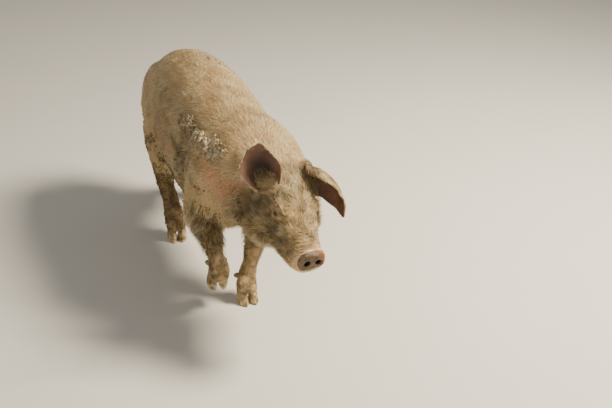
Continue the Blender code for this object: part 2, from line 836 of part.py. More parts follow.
def build_ear(name, ear, head):
    """A cupped leaf of skin and cartilage, rolled at its root, which is cut to the head's surface."""
    rows, across = 11, 9
    start, end = Vector(ear["start"]).normalized(), Vector(ear["end"]).normalized()
    spine = head_frame() @ Vector(ear["root"]) - start * EAR_ROOT_DEPTH
    length = EAR_LENGTH * ear["length"] + EAR_ROOT_DEPTH
    front, back = [], []
    for row in range(rows):
        share = row / (rows - 1)
        along = start.slerp(end, share ** ear["bend"])
        if row:
            spine = spine + along * length / (rows - 1)
        side = along.cross(Vector(ear["faces"])).normalized()
        faces_to = side.cross(along)
        roll = ear["root_roll"] + (EAR_TIP_ROLL - ear["root_roll"]) * share**0.6
        radius = ear_half_arc(ear, share) / roll
        for column in range(across):
            t = 2 * column / (across - 1) - 1
            angle = roll * (t + ear["skew"] * share)
            outwards = side * math.sin(angle) - faces_to * math.cos(angle)
            point = spine + (faces_to + outwards) * radius
            depth = EAR_THICKNESS * (1.7 - 0.9 * share) * (1.0 - 0.45 * abs(t) ** 3)
            front.append(point)
            back.append(point + outwards * depth)
    points = front + back
    offset = rows * across
    faces = []
    for row in range(rows - 1):
        for column in range(across - 1):
            a = row * across + column
            quad = [a, a + 1, a + across + 1, a + across]
            for one, two, three in ((0, 1, 2), (0, 2, 3)):
                faces.append([quad[one], quad[two], quad[three]])
                faces.append([offset + quad[three], offset + quad[two], offset + quad[one]])
    loop = list(range(across))
    loop += [row * across + across - 1 for row in range(1, rows)]
    loop += [(rows - 1) * across + column for column in range(across - 2, -1, -1)]
    loop += [row * across for row in range(rows - 2, 0, -1)]
    for here, after in zip(loop, loop[1:] + loop[:1]):
        faces.append([here, offset + here, offset + after])
        faces.append([here, offset + after, after])
    obj = object_from_points(name, points, faces)
    combine(obj, [grown(head, GAP)], "DIFFERENCE")


def build_tail(torso):
    """A thin tail that hangs from the rump, with one loose curl and a drooping tip."""
    root = Vector((BUTTOCK_X + 0.012, 0.0, TAIL_HEIGHT))
    path = [root, root + Vector((-0.016, 0.0, 0.004))]
    curl_centre = root + Vector((-0.030, 0.006, -TAIL_CURL_RADIUS))
    steps, tip_steps = 18, 6
    for step in range(1, steps + 1):
        share = step / steps
        angle = math.pi / 2 + 2 * math.pi * TAIL_CURL_TURNS * share
        path.append(
            curl_centre
            + Vector((
                math.cos(angle) * TAIL_CURL_RADIUS * 0.62,
                TAIL_CURL_WIDTH * share,
                math.sin(angle) * TAIL_CURL_RADIUS * (1 - 0.15 * share) - TAIL_CURL_WIDTH * share,
            ))
        )
    for step in range(tip_steps):
        path.append(path[-1] + Vector((-0.001, 0.001, -TAIL_TIP_LENGTH / tip_steps)))
    curve = bpy.data.curves.new("tail", "CURVE")
    curve.dimensions = "3D"
    curve.bevel_depth = TAIL_RADIUS
    curve.bevel_resolution = 2
    curve.use_fill_caps = True
    spline = curve.splines.new("POLY")
    spline.points.add(len(path) - 1)
    for index, (point, place) in enumerate(zip(spline.points, path)):
        point.co = (*place, 1.0)
        point.radius = 1.0 - 0.72 * index / (len(path) - 1)
    helper = bpy.data.objects.new("tail_curve", curve)
    bpy.context.scene.collection.objects.link(helper)
    bpy.context.view_layer.update()
    graph = bpy.context.evaluated_depsgraph_get()
    tail = add_object("tail", bpy.data.meshes.new_from_object(helper.evaluated_get(graph)))
    remove([helper])
    combine(tail, [grown(torso, GAP)], "DIFFERENCE")


def finish(obj, material):
    """Gives a piece its material and smooth shading."""
    obj.data.materials.clear()
    obj.data.materials.append(material)
    obj.data.shade_smooth()
    obj.data.set_sharp_from_angle(angle=math.radians(40))


def finish_of(name):
    """The finish that a piece takes from its name."""
    if "claw" in name:
        return "horn"
    if name.startswith("eye"):
        return "eye"
    if name.startswith(("ear", "snout")):
        return "bare_skin"
    return "muddy_coat" if name.endswith("leg") else "coat"


def stand_on_origin(objects):
    """Moves the animal sideways so that the origin is on the floor under the middle of its box."""
    points = [vertex.co for obj in objects for vertex in obj.data.vertices]
    middle_x = (min(p.x for p in points) + max(p.x for p in points)) / 2
    middle_y = (min(p.y for p in points) + max(p.y for p in points)) / 2
    for obj in objects:
        obj.data.transform(Matrix.Translation((-middle_x, -middle_y, 0.0)))


def build():
    """The whole animal."""
    clear_scene()
    materials = make_finishes()
    body = whole_body()
    build_legs(body)
    torso, head = build_torso_neck_head(body)
    remove([body])
    cut_muzzle(head)
    build_lower_jaw(head)
    build_snout_disc()
    add_jowl_fringe(head)
    build_eyes(head)
    for name, ear in EARS.items():
        build_ear(name, ear, head)
    build_tail(torso)
    pieces = list(bpy.context.scene.collection.objects)
    for piece in pieces:
        finish(piece, materials[finish_of(piece.name)])
    stand_on_origin(pieces)


build()
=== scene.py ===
import math

import bmesh
import bpy
import numpy as np
from mathutils import Matrix, Vector
from mathutils.bvhtree import BVHTree


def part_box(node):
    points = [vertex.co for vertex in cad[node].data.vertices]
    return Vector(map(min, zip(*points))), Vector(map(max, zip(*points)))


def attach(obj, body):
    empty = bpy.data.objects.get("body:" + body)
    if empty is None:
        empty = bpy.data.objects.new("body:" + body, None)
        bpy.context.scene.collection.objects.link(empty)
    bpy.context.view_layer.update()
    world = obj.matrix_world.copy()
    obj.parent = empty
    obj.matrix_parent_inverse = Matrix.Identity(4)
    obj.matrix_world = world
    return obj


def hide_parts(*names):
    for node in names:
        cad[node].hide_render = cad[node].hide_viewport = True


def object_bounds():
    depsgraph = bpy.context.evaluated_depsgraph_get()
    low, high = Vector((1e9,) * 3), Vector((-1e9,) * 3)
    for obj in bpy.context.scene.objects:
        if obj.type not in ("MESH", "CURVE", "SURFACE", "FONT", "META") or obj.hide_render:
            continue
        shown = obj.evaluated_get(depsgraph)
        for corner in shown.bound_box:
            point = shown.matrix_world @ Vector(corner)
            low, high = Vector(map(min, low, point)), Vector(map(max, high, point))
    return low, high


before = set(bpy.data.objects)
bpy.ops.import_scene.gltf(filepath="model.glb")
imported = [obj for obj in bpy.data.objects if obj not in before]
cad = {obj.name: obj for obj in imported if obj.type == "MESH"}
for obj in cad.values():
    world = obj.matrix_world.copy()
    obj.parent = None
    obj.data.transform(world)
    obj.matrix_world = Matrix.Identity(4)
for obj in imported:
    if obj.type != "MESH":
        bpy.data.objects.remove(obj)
cad_low, cad_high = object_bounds()

FLESH = (
    "torso", "neck", "head", "lower_jaw", "snout_disc", "tail", "ear_left", "ear_right",
    "fore_left_leg", "fore_right_leg", "hind_left_leg", "hind_right_leg",
)

# The head as the solids have it: the poll, how the face hangs, and the mouth's line on it
POLL = np.array((0.33764, 0.03636, 0.470))
HEAD_PITCH = math.radians(34)
HEAD_YAW = math.radians(2)
HEAD_LENGTH = 0.255
HEAD_TURN = Matrix.Rotation(HEAD_YAW, 3, "Z") @ Matrix.Rotation(HEAD_PITCH, 3, "Y")
HEAD_AXES = np.array(HEAD_TURN)
MOUTH_LINE = ((0.47, -0.062), (0.57, -0.066), (0.69, -0.060), (0.81, -0.051), (0.93, -0.045))

# The ears as the solids have them
EAR_LENGTH = 0.135
EAR_WIDTH = 0.112
EAR_THICKNESS = 0.0045
EAR_ROOT_DEPTH = 0.016
EARS = {
    "ear_right": {
        "root": (0.028, -0.058, 0.044), "start": (-0.10, -0.50, 0.86), "end": (0.00, -0.05, 0.99),
        "faces": (0.80, -0.45, 0.15), "bend": 0.80, "length": 0.69, "breadth": 1.10,
        "root_breadth": 0.80, "root_roll": math.radians(120), "skew": -0.25,
    },
    "ear_left": {
        "root": (0.030, 0.064, 0.048), "start": (0.30, 0.94, 0.10), "end": (0.42, -0.12, -0.90),
        "faces": (0.20, -0.72, -0.25), "bend": 0.80, "length": 1.14, "breadth": 1.00,
        "root_breadth": 0.55, "root_roll": math.radians(135), "skew": 0.15,
    },
}
EAR_BROADEST_SHARE = 0.42
EAR_TIP_ROLL = math.radians(28)

# The eyes, with the way each one looks in the head's own frame, and their lids
EYES = {"eye_right": (0.32, -1, 0.30), "eye_left": (0.32, 1, 0.30)}
EYE_RADIUS = 0.0115
CORNEA_RADIUS = 0.0068
LID_HALF_LENGTH = 0.0165
LID_HALF_HEIGHT = 0.0105

MOUTH_CORNER = (0.465 * HEAD_LENGTH, -0.062)
SNOUT_AXES = np.array(Matrix.Rotation(math.radians(-20), 3, "Y"))
NOSTRIL_SPACING = 0.030
NOSTRIL_RISE = 0.002

# How far apart the skin's folds and the horn's rings lie
SNOUT_FOLDS = 0.0088
NECK_FOLDS = 0.040
DISC_CREASES = 0.0042
HORN_RINGS = 0.0042

# How fine the meshes are, and how the solids are joined and eased
SKIN_VOXEL = 0.0022
CLAW_VOXEL = 0.0013
SWELL = 0.0006
WELD = 0.00002
BODY_SHARE_KEPT = 0.42
EASING_ROUNDS = 22
JOWL_ROUNDS = 200
UNWRAP_TRIANGLES = 9000
PIECE_TRIANGLES = 195000

# Each solid's coat: its depth and its length in metres, and its tufts to the square metre
COATS = {
    "torso": (0.0055, 0.031, 66000), "neck": (0.0060, 0.032, 70000), "head": (0.0032, 0.019, 130000),
    "lower_jaw": (0.0038, 0.020, 120000), "tail": (0.0016, 0.012, 110000),
    "ear_left": (0.0, 0.010, 70000), "ear_right": (0.0, 0.010, 70000), "snout_disc": (0.0, 0.020, 0),
}
LEG_COAT = (0.0034, 0.020, 85000)
TUFT_SIDES = 3
TUFT_WIDTHS = (0.75, 1.0, 0.78)
TUFT_PATCH = 0.003
SKIN_SEARCH = 0.03
BOX_SPARE = 0.004
CRUMB_SIDES = 7


def in_head(points):
    """Places in the head's own frame: along the face, to its left, and out of the forehead."""
    return (points - POLL) @ HEAD_AXES


def from_head(ways):
    """Directions of the head's own frame, in the animal's."""
    return np.asarray(ways) @ HEAD_AXES.T


def ease(low, high, values):
    """0 below low, 1 above high, with an easy run between them. It falls where low is the higher."""
    share = np.clip((values - low) / (high - low), 0.0, 1.0)
    return share * share * (3.0 - 2.0 * share)


def unit(vectors):
    """The vectors at length one."""
    return vectors / np.maximum(np.linalg.norm(vectors, axis=-1, keepdims=True), 1e-9)


def ripple(points, size, seed, waves=8):
    """A repeatable unevenness of about -1 to 1 whose bumps have this size in metres."""
    draw = np.random.default_rng(seed)
    total = np.zeros(len(points))
    for _ in range(waves):
        way = draw.normal(size=3)
        way *= math.pi / size * draw.uniform(0.6, 1.5) / np.linalg.norm(way)
        total += np.sin(points @ way + draw.uniform(0.0, 2 * math.pi))
    return total * 0.7 / math.sqrt(waves / 2)


def hump(values, middle, width):
    """1 where the values are at the middle, falling away softly to both sides over this width."""
    return np.exp(-(((values - middle) / width) ** 2))


def folds(places, spacing):
    """Soft folds from -1 to 1 that lie this far apart."""
    return np.sin(2 * math.pi * places / spacing)


def span(vectors):
    """How long each of the vectors is."""
    return np.linalg.norm(vectors, axis=-1)


def along_skin(ways, normals):
    """The ways at length one, without what leads into the skin or out of it."""
    return unit(ways - normals * (ways * normals).sum(1, keepdims=True))


def middle_of(name):
    """The middle of a solid's box."""
    low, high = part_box(name)
    return np.array((low + high) / 2)


def in_disc(points):
    """Places in the snout disc's own frame, which leans against the face's."""
    return (in_head(points) - in_head(middle_of("snout_disc"))) @ SNOUT_AXES


def from_eyes(points):
    """The way to these points from the middle of each eye, one layer for each eye."""
    return np.stack([points - middle_of(eye) for eye in EYES])


def ear_mouth(ear):
    """The place over the ear's root where its cup begins."""
    return POLL + from_head(ear["root"]) + 0.022 * unit(np.array(ear["start"]))


def new_object(name, data):
    """An object of this mesh, camera or lamp, in the scene."""
    made = bpy.data.objects.new(name, data)
    bpy.context.scene.collection.objects.link(made)
    return made


def mesh_from(name, points, triangles):
    """A smooth-shaded mesh from arrays of corners and triangles."""
    mesh = bpy.data.meshes.new(name)
    mesh.vertices.add(len(points))
    mesh.vertices.foreach_set("co", np.ascontiguousarray(points, np.float32).ravel())
    mesh.loops.add(len(triangles) * 3)
    mesh.loops.foreach_set("vertex_index", np.ascontiguousarray(triangles, np.int32).ravel())
    mesh.polygons.add(len(triangles))
    mesh.polygons.foreach_set("loop_start", np.arange(0, len(triangles) * 3, 3, dtype=np.int32))
    mesh.update(calc_edges=True)
    mesh.shade_smooth()
    return mesh


def arrays_of(mesh):
    """The mesh's corners and its triangles."""
    points = np.empty(len(mesh.vertices) * 3, np.float32)
    mesh.vertices.foreach_get("co", points)
    mesh.calc_loop_triangles()
    triangles = np.empty(len(mesh.loop_triangles) * 3, np.int32)
    mesh.loop_triangles.foreach_get("vertices", triangles)
    return points.reshape(-1, 3).astype(float), triangles.reshape(-1, 3)


def edges_of(triangles):
    """Each edge of the triangles, once."""
    pairs = np.concatenate([triangles[:, (0, 1)], triangles[:, (1, 2)], triangles[:, (2, 0)]])
    return np.unique(np.sort(pairs, axis=1), axis=0)


def spread(values, edges, steps, share=0.5):
    """The values at the corners, each drawn towards its neighbours' mean in every step."""
    values = np.array(values, float)
    flat = values.reshape(len(values), -1)
    one, two = edges.T
    count = np.maximum(np.bincount(edges.ravel(), minlength=len(flat)), 1)
    share = np.broadcast_to(np.asarray(share, float), (len(flat),))
    for _ in range(steps):
        for column in range(flat.shape[1]):
            own = flat[:, column]
            total = np.bincount(one, own[two], len(flat)) + np.bincount(two, own[one], len(flat))
            flat[:, column] = own + share * (total / count - own)
    return flat.reshape(values.shape)


def corner_normals(points, triangles):
    """The outward direction at each corner."""
    a, b, c = points[triangles.T]
    face = np.cross(b - a, c - a)
    total = np.zeros_like(points)
    for corner in range(3):
        for axis in range(3):
            total[:, axis] += np.bincount(triangles[:, corner], face[:, axis], len(points))
    return unit(total)


def tree_of(points, triangles):
    """The surface as a tree, to find the nearest place on it."""
    return BVHTree.FromPolygons(points.tolist(), triangles.tolist())


def applied(obj, kind, **settings):
    """The object's mesh as one modifier with these settings leaves it, which becomes its own."""
    modifier = obj.modifiers.new(kind, kind)
    for name, value in settings.items():
        setattr(modifier, name, value)
    bpy.context.view_layer.update()
    graph = bpy.context.evaluated_depsgraph_get()
    mesh = bpy.data.meshes.new_from_object(obj.evaluated_get(graph))
    obj.modifiers.clear()
    obj.data = mesh
    return mesh


def pick(obj):
    """Makes this the one object that Blender's own tools work on."""
    bpy.ops.object.select_all(action="DESELECT")
    obj.select_set(True)
    bpy.context.view_layer.objects.active = obj


def ear_half_arc(ear, share):
    """Half of the ear's breadth along its curve: a narrow root, a broad middle, a pointed tip."""
    rise = math.sin(min(share / EAR_BROADEST_SHARE, 1.0) * math.pi / 2)
    swell = ear["root_breadth"] + (1 - ear["root_breadth"]) * rise
    taper = max(share - EAR_BROADEST_SHARE, 0.0) / (1 - EAR_BROADEST_SHARE)
    return EAR_WIDTH / 2 * ear["breadth"] * swell * max(1.0 - taper**1.3, 0.014) ** 0.80


def ear_leaf(ear):
    """A fine cupped leaf on the solid ear's own curve, with soft ridges inside and a wavy rim."""
    rows, across = 66, 41
    start, end = Vector(ear["start"]).normalized(), Vector(ear["end"]).normalized()
    root = Vector(POLL) + HEAD_TURN @ Vector(ear["root"])
    length = EAR_LENGTH * ear["length"] + EAR_ROOT_DEPTH
    # The solid's spine is walked in its own ten steps, then read between them
    coarse_rows = 11
    spine = [root - start * EAR_ROOT_DEPTH]
    for row in range(1, coarse_rows):
        along = start.slerp(end, (row / (coarse_rows - 1)) ** ear["bend"])
        spine.append(spine[-1] + along * length / (coarse_rows - 1))
    front, back = [], []
    for row in range(rows):
        share = row / (rows - 1)
        place = share * (coarse_rows - 1)
        low = min(int(place), coarse_rows - 2)
        centre = spine[low].lerp(spine[low + 1], place - low)
        along = start.slerp(end, share ** ear["bend"])
        side = along.cross(Vector(ear["faces"])).normalized()
        faces_to = side.cross(along)
        roll = ear["root_roll"] + (EAR_TIP_ROLL - ear["root_roll"]) * share**0.6
        radius = ear_half_arc(ear, share) / roll
        for column in range(across):
            t = 2 * column / (across - 1) - 1
            angle = roll * (t + ear["skew"] * share)
            outwards = side * math.sin(angle) - faces_to * math.cos(angle)
            point = centre + (faces_to + outwards) * radius
            rim = abs(t) ** 3
            wave = 0.0012 * math.sin(21 * share + 2.5 * t) * rim
            ridges = 0.0009 * math.sin(3.2 * math.pi * t + 1.5 * share)
            ridges *= math.sin(math.pi * min(share * 1.4, 1.0))
            depth = EAR_THICKNESS * (1.7 - 0.9 * share) * (1.0 - 0.25 * rim)
            front.append(point + outwards * (ridges * (1 - rim)) - faces_to * wave)
            back.append(point + outwards * max(depth, 0.0034) - faces_to * wave)
    points = front + back
    offset = rows * across
    faces = []
    for row in range(rows - 1):
        for column in range(across - 1):
            a = row * across + column
            faces.append((a, a + 1, a + across + 1, a + across))
            faces.append((offset + a + across, offset + a + across + 1, offset + a + 1, offset + a))
    loop = list(range(across))
    loop += [row * across + across - 1 for row in range(1, rows)]
    loop += [(rows - 1) * across + column for column in range(across - 2, -1, -1)]
    loop += [row * across for row in range(rows - 2, 0, -1)]
    for here, after in zip(loop, loop[1:] + loop[:1]):
        faces.append((here, offset + here, offset + after, after))
    mesh = bpy.data.meshes.new("ear_leaf")
    mesh.from_pydata(points, [], faces)
    return mesh


def fused_flesh():
    """All the flesh solids as one closed surface: welded, swollen over their gaps and remeshed."""
    made = bmesh.new()
    for name in FLESH:
        part = bmesh.new()
        if name in EARS:
            leaf = ear_leaf(EARS[name])
            part.from_mesh(leaf)
            bpy.data.meshes.remove(leaf)
        else:
            part.from_mesh(cad[name].data)
        bmesh.ops.remove_doubles(part, verts=part.verts, dist=WELD)
        bmesh.ops.recalc_face_normals(part, faces=part.faces)
        part.normal_update()
        if name not in EARS:
            for vertex in part.verts:
                vertex.co += vertex.normal * SWELL
        piece = bpy.data.meshes.new(name)
        part.to_mesh(piece)
        part.free()
        made.from_mesh(piece)
        bpy.data.meshes.remove(piece)
    mesh = bpy.data.meshes.new("flesh")
    made.to_mesh(mesh)
    made.free()
    flesh = new_object("flesh", mesh)
    applied(flesh, "REMESH", mode="VOXEL", voxel_size=SKIN_VOXEL)
    return flesh


def largest_part(obj):
    """The arrays of the object's biggest closed surface, without the pockets that fusing sealed."""
    pick(obj)
    bpy.ops.mesh.separate(type="LOOSE")
    parts = sorted(bpy.context.selected_objects, key=lambda part: len(part.data.vertices))
    points, triangles = arrays_of(parts[-1].data)
    for part in parts:
        bpy.data.objects.remove(part)
    return points, triangles


def thinned(points, triangles, share, kept):
    """Fewer triangles where kept is 0, as the coat hides the body's fine ones."""
    obj = new_object("thinned", mesh_from("thinned", points, triangles))
    group = obj.vertex_groups.new(name="body")
    for level in range(1, 11):
        chosen = np.where(np.round((1.0 - kept) * 10) == level)[0]
        if len(chosen):
            group.add(chosen.tolist(), level / 10, "REPLACE")
    result = arrays_of(applied(obj, "DECIMATE", ratio=share, vertex_group="body"))
    bpy.data.objects.remove(obj)
    return result


def from_mouth(on_head):
    """How far these points are from the line of the mouth, seen from the side."""
    away = np.full(len(on_head), 1.0)
    line = np.array(MOUTH_LINE) * (HEAD_LENGTH, 1.0)
    for start, end in zip(line, line[1:]):
        step = end - start
        place = on_head[:, (0, 2)] - start
        part = np.clip(place @ step / (step @ step), 0.0, 1.0)
        away = np.minimum(away, span(place - part[:, None] * step))
    return away


def carved(points, normals, mud, crust):
    """The skin with what the solids are too coarse for: mouth, folds, lids, disc and dried mud."""
    on_head = in_head(points)
    out = normals @ HEAD_AXES
    along, height = on_head[:, 0], on_head[:, 2]
    share = along / HEAD_LENGTH
    move = 0.0009 * ripple(points, 0.034, 1) + 0.0003 * ripple(points, 0.009, 2)

    # The closed mouth: a furrow between two soft lips, with a small pad round its corner
    away = from_mouth(on_head)
    at_side = ease(0.25, 0.6, np.abs(out[:, 1]))
    move -= 0.0052 * hump(away, 0.0, 0.0021) * at_side
    move += 0.0014 * hump(away, 0.0065, 0.0032) * at_side
    corner = np.hypot(along - MOUTH_CORNER[0], height - MOUTH_CORNER[1])
    move += 0.0022 * hump(corner, 0.010, 0.004) * at_side

    # Folds across the bridge of the snout, and the raised fold behind the disc
    bridge = ease(0.66, 0.78, share) * ease(0.955, 0.92, share)
    bridge = bridge * ease(-0.5, 0.3, out[:, 2])
    bend = along + 5.0 * on_head[:, 1] ** 2 + 0.0012 * ripple(points, 0.012, 3)
    move += 0.0015 * folds(bend, SNOUT_FOLDS) * bridge
    move += 0.0024 * hump(share, 0.925, 0.018) * ease(-0.6, 0.1, out[:, 2])

    # Round the eyes: raised lids, a furrow that is deepest above them, then fading wrinkles
    for eye, way in EYES.items():
        looks = unit(np.array(way))
        lid_line = np.array((1.0, 0.0, -0.25))
        lid_line = unit(lid_line - looks * (lid_line @ looks))
        up = np.cross(looks, lid_line) * way[1]
        from_eye = on_head - in_head(middle_of(eye))
        u, v = from_eye @ lid_line, from_eye @ up
        ring = np.hypot(u / LID_HALF_LENGTH, v / LID_HALF_HEIGHT)
        near = ease(0.045, 0.022, span(from_eye)) * ease(0.0, 0.006, from_eye @ looks)
        upper = ease(-0.003, 0.004, v)
        move -= 0.0027 * hump(ring, 1.42, 0.17) * near * (0.45 + 0.55 * upper)
        move += 0.0012 * hump(ring, 1.02, 0.18) * near
        waves = np.cos(2 * math.pi * (ring + 0.12 * ripple(points, 0.02, 4)) / 0.62)
        move += 0.0016 * waves * ease(1.5, 1.9, ring) * ease(3.4, 2.4, ring) * near

    # Soft folds where the neck meets the jowl and the shoulder
    lean = points[:, 0] + 0.35 * (points[:, 2] - 0.40) + 0.004 * ripple(points, 0.05, 5)
    neck = ease(0.19, 0.24, points[:, 0]) * ease(0.35, 0.30, points[:, 0])
    neck = neck * ease(0.54, 0.48, points[:, 2])
    move += 0.0021 * folds(lean, NECK_FOLDS) * neck

    # Mud that has dried in small lumps, and pale crust in flakes about a centimetre across
    lumps = ease(0.0, 0.9, ripple(points, 0.0075, 6)) + 0.5 * ripple(points, 0.004, 7)
    move += 0.0011 * lumps * mud
    move += 0.0024 * (1.0 - hump(ripple(points, 0.0085, 8), 0.0, 0.16)) * crust

    # The disc: its rim stands up, shallow creases run round the nostrils, and these are dished
    on_disc = in_disc(points)
    front = ease(-0.004, 0.002, on_disc[:, 0]) * ease(0.97, 0.985, share)
    from_middle = np.hypot(on_disc[:, 1] / 0.030, on_disc[:, 2] / 0.021)
    move += 0.0012 * front * hump(from_middle, 0.92, 0.14)
    from_nostril = np.hypot(np.abs(on_disc[:, 1]) - NOSTRIL_SPACING / 2, on_disc[:, 2] - NOSTRIL_RISE)
    creases = folds(from_nostril + 0.0008 * ripple(points, 0.008, 51), DISC_CREASES)
    move += 0.00055 * front * creases * ease(0.009, 0.012, from_nostril)
    move -= 0.0036 * front * hump(from_nostril, 0.0, 0.0070)
    return points + normals * move[:, None]


# Where mud, pale crust, brown stains and pink blush lie. Each line is a centre and a reach, in metres in
# the animal's frame, then how strong the patch is and how ragged its edge is
MUD_PATCHES = (
    ((0.06, -0.14, 0.40), (0.055, 0.06, 0.10), 0.55, 0.45),
    ((0.20, -0.12, 0.27), (0.07, 0.06, 0.09), 0.85, 0.35),
    ((-0.06, -0.12, 0.30), (0.20, 0.07, 0.06), 0.90, 0.40),
    ((-0.06, 0.12, 0.29), (0.18, 0.07, 0.05), 0.80, 0.40),
    ((0.13, 0.12, 0.30), (0.12, 0.06, 0.10), 0.70, 0.40),
    ((-0.33, -0.10, 0.27), (0.16, 0.09, 0.12), 0.80, 0.40),
    ((-0.33, 0.10, 0.28), (0.16, 0.09, 0.12), 0.75, 0.40),
    ((-0.10, 0.14, 0.42), (0.10, 0.05, 0.07), 0.40, 0.50),
    ((-0.52, 0.02, 0.36), (0.05, 0.10, 0.10), 0.45, 0.50),
)
CRUST_PATCHES = (
    ((0.205, -0.112, 0.492), (0.060, 0.045, 0.034), 1.0, 0.35),
    ((0.135, -0.120, 0.500), (0.040, 0.040, 0.028), 0.8, 0.45),
    ((0.060, -0.115, 0.512), (0.045, 0.045, 0.030), 0.7, 0.50),
    ((0.02, 0.13, 0.47), (0.06, 0.04, 0.04), 0.7, 0.45),
    ((-0.20, 0.02, 0.585), (0.05, 0.04, 0.03), 0.35, 0.55),
)
STAIN_PATCHES = (
    ((0.10, -0.13, 0.44), (0.10, 0.05, 0.09), 0.85, 0.40),
    ((-0.14, -0.14, 0.46), (0.14, 0.05, 0.08), 0.65, 0.50),
    ((0.00, 0.14, 0.42), (0.20, 0.05, 0.09), 0.65, 0.50),
    ((-0.42, 0.00, 0.50), (0.08, 0.12, 0.07), 0.55, 0.50),
    ((0.18, 0.01, 0.57), (0.08, 0.05, 0.04), 0.40, 0.50),
)
BLUSH_PATCHES = (
    ((0.288, -0.088, 0.412), (0.072, 0.050, 0.042), 0.78, 0.30),
    ((0.235, -0.100, 0.440), (0.055, 0.050, 0.040), 0.55, 0.35),
    ((0.300, 0.110, 0.415), (0.055, 0.040, 0.034), 0.8, 0.20),
    ((-0.12, -0.15, 0.42), (0.12, 0.05, 0.09), 0.45, 0.30),
    ((-0.05, 0.14, 0.38), (0.12, 0.05, 0.07), 0.40, 0.30),
    ((-0.47, 0.00, 0.40), (0.07, 0.10, 0.06), 0.5, 0.25),
)


def patches(points, places, seed, streaky=1.0):
    """How much of a mark each point has, from its patches with their ragged, streaky edges."""
    ragged = 0.7 * ripple(points, 0.030, seed) + 0.5 * ripple(points * (1.0, 1.0, 0.45), 0.010, seed + 1)
    total = np.zeros(len(points))
    for centre, reach, strength, edge in places:
        away = span((points - centre) / reach) + edge * ragged
        total = np.maximum(total, strength * ease(1.15, 0.55, away))
    streaks = ripple(points * (1.5, 1.5, 0.45), 0.0085, seed + 3)
    return total * (1 - streaky * ease(0.35, -0.75, streaks))


def marks(points):
    """Mud, crust, blush, and grime with painted shade at the ears' roots, at these points, each from 0 to 1,
    for the skin and the coat alike.
    """
    on_head = in_head(points)
    share = on_head[:, 0] / HEAD_LENGTH
    edge = 0.035 * ripple(points, 0.045, 20) + 0.015 * ripple(points, 0.012, 21)
    face = ease(-0.02, 0.10, share)
    low = ease(0.275, 0.205, points[:, 2] + edge) * ease(0.30, 0.10, face)
    mud = np.maximum(patches(points, MUD_PATCHES, 22), low * (0.82 + 0.18 * ripple(points, 0.02, 23)))
    crust = patches(points, CRUST_PATCHES, 24)
    blush = patches(points, BLUSH_PATCHES, 26, 0.25)
    lower_face = ease(0.03, -0.05, on_head[:, 2] + 0.02 * ripple(points, 0.03, 27))
    round_eyes = hump(share, 0.45, 0.16) * ease(0.02, 0.05, np.abs(on_head[:, 1]))
    grime_and_ear_shade = face * np.clip(0.66 + 0.45 * lower_face + 0.40 * round_eyes, 0.0, 1.0)
    clumps = 0.78 + 0.34 * ripple(points, 0.018, 28) + 0.26 * ripple(points, 0.007, 29)
    grime_and_ear_shade = grime_and_ear_shade * clumps * ease(0.96, 0.84, share)
    grime_and_ear_shade = np.maximum(grime_and_ear_shade, patches(points, STAIN_PATCHES, 30))
    # Painted shade: the coat and skin in front of each ear's cup, by its root, take the dark grime colour
    for ear in EARS.values():
        mouth = ear_mouth(ear) + 0.022 * unit(np.array(ear["faces"]))
        grime_and_ear_shade = np.maximum(grime_and_ear_shade, 1.1 * ease(0.050, 0.026, span(points - mouth)))
    return np.clip(np.stack((mud, crust, blush * (1 - grime_and_ear_shade), grime_and_ear_shade), 1), 0.0, 1.0)


def set_marks(mesh, **layers):
    """Stores the marks, and any other value at the corners, where the materials read them."""
    for name, values in layers.items():
        kind, field = ("FLOAT_COLOR", "color") if values.ndim == 2 else ("FLOAT", "value")
        layer = mesh.attributes.new(name, kind, "POINT")
        layer.data.foreach_set(field, np.ascontiguousarray(values, np.float32).ravel())


def set_uvs(mesh, places):
    """Lays the mesh out on the OFBake map, a place for each face's corner."""
    layer = mesh.uv_layers.new(name="OFBake")
    layer.data.foreach_set("uv", np.ascontiguousarray(places, np.float32).ravel())


points, triangles = largest_part(fused_flesh())
head_share = ease(-0.07, -0.02, in_head(points)[:, 0])
points, triangles = thinned(points, triangles, BODY_SHARE_KEPT, head_share)
edges = edges_of(triangles)

# Which solid each place on the skin came from
solid_points, solid_triangles, solid_of = [], [], []
for index, name in enumerate(FLESH):
    part_points, part_triangles = arrays_of(cad[name].data)
    solid_triangles.append(part_triangles + sum(len(p) for p in solid_points))
    solid_points.append(part_points)
    solid_of += [index] * len(part_triangles)
solids = tree_of(np.concatenate(solid_points), np.concatenate(solid_triangles))
part_of = np.array([solid_of[solids.find_nearest(Vector(p))[2]] for p in points])


def in_parts(*names):
    """1 at the corners that came from these solids, 0 elsewhere."""
    return np.isin(part_of, [FLESH.index(name) for name in names]).astype(float)


on_head = in_head(points)
share = on_head[:, 0] / HEAD_LENGTH
is_ear = in_parts("ear_left", "ear_right")
is_disc = in_parts("snout_disc")
is_face = in_parts("head", "lower_jaw")
is_leg = in_parts(*(name for name in FLESH if name.endswith("leg")))

# The solids' flat faces are eased away, and the coarse jowl locks melt back into the cheek
firm = spread(np.maximum(is_ear, is_disc), edges, 4)
for _ in range(EASING_ROUNDS):
    points = spread(points, edges, 1, 0.55 * (1 - firm))
    points = spread(points, edges, 1, -0.57 * (1 - firm))
cheek = ease(0.045, 0.065, np.abs(on_head[:, 1]))
jowl = ease(-0.030, -0.055, on_head[:, 2]) * ease(0.46, 0.36, share)
jowl = jowl * ease(-0.16, -0.06, share) * cheek * (1 - is_leg)
jowl = spread(jowl, edges, 6)
near_jowl = jowl > 0.01
inside = near_jowl[edges].all(axis=1)
held = np.bincount(edges[~inside].ravel(), minlength=len(points)) > 0
points = spread(points, edges[inside], JOWL_ROUNDS, 0.9 * jowl * near_jowl * ~held)

normals = corner_normals(points, triangles)
shown_marks = marks(points)
points = carved(points, normals, shown_marks[:, 0] * (1 - is_ear), shown_marks[:, 1])

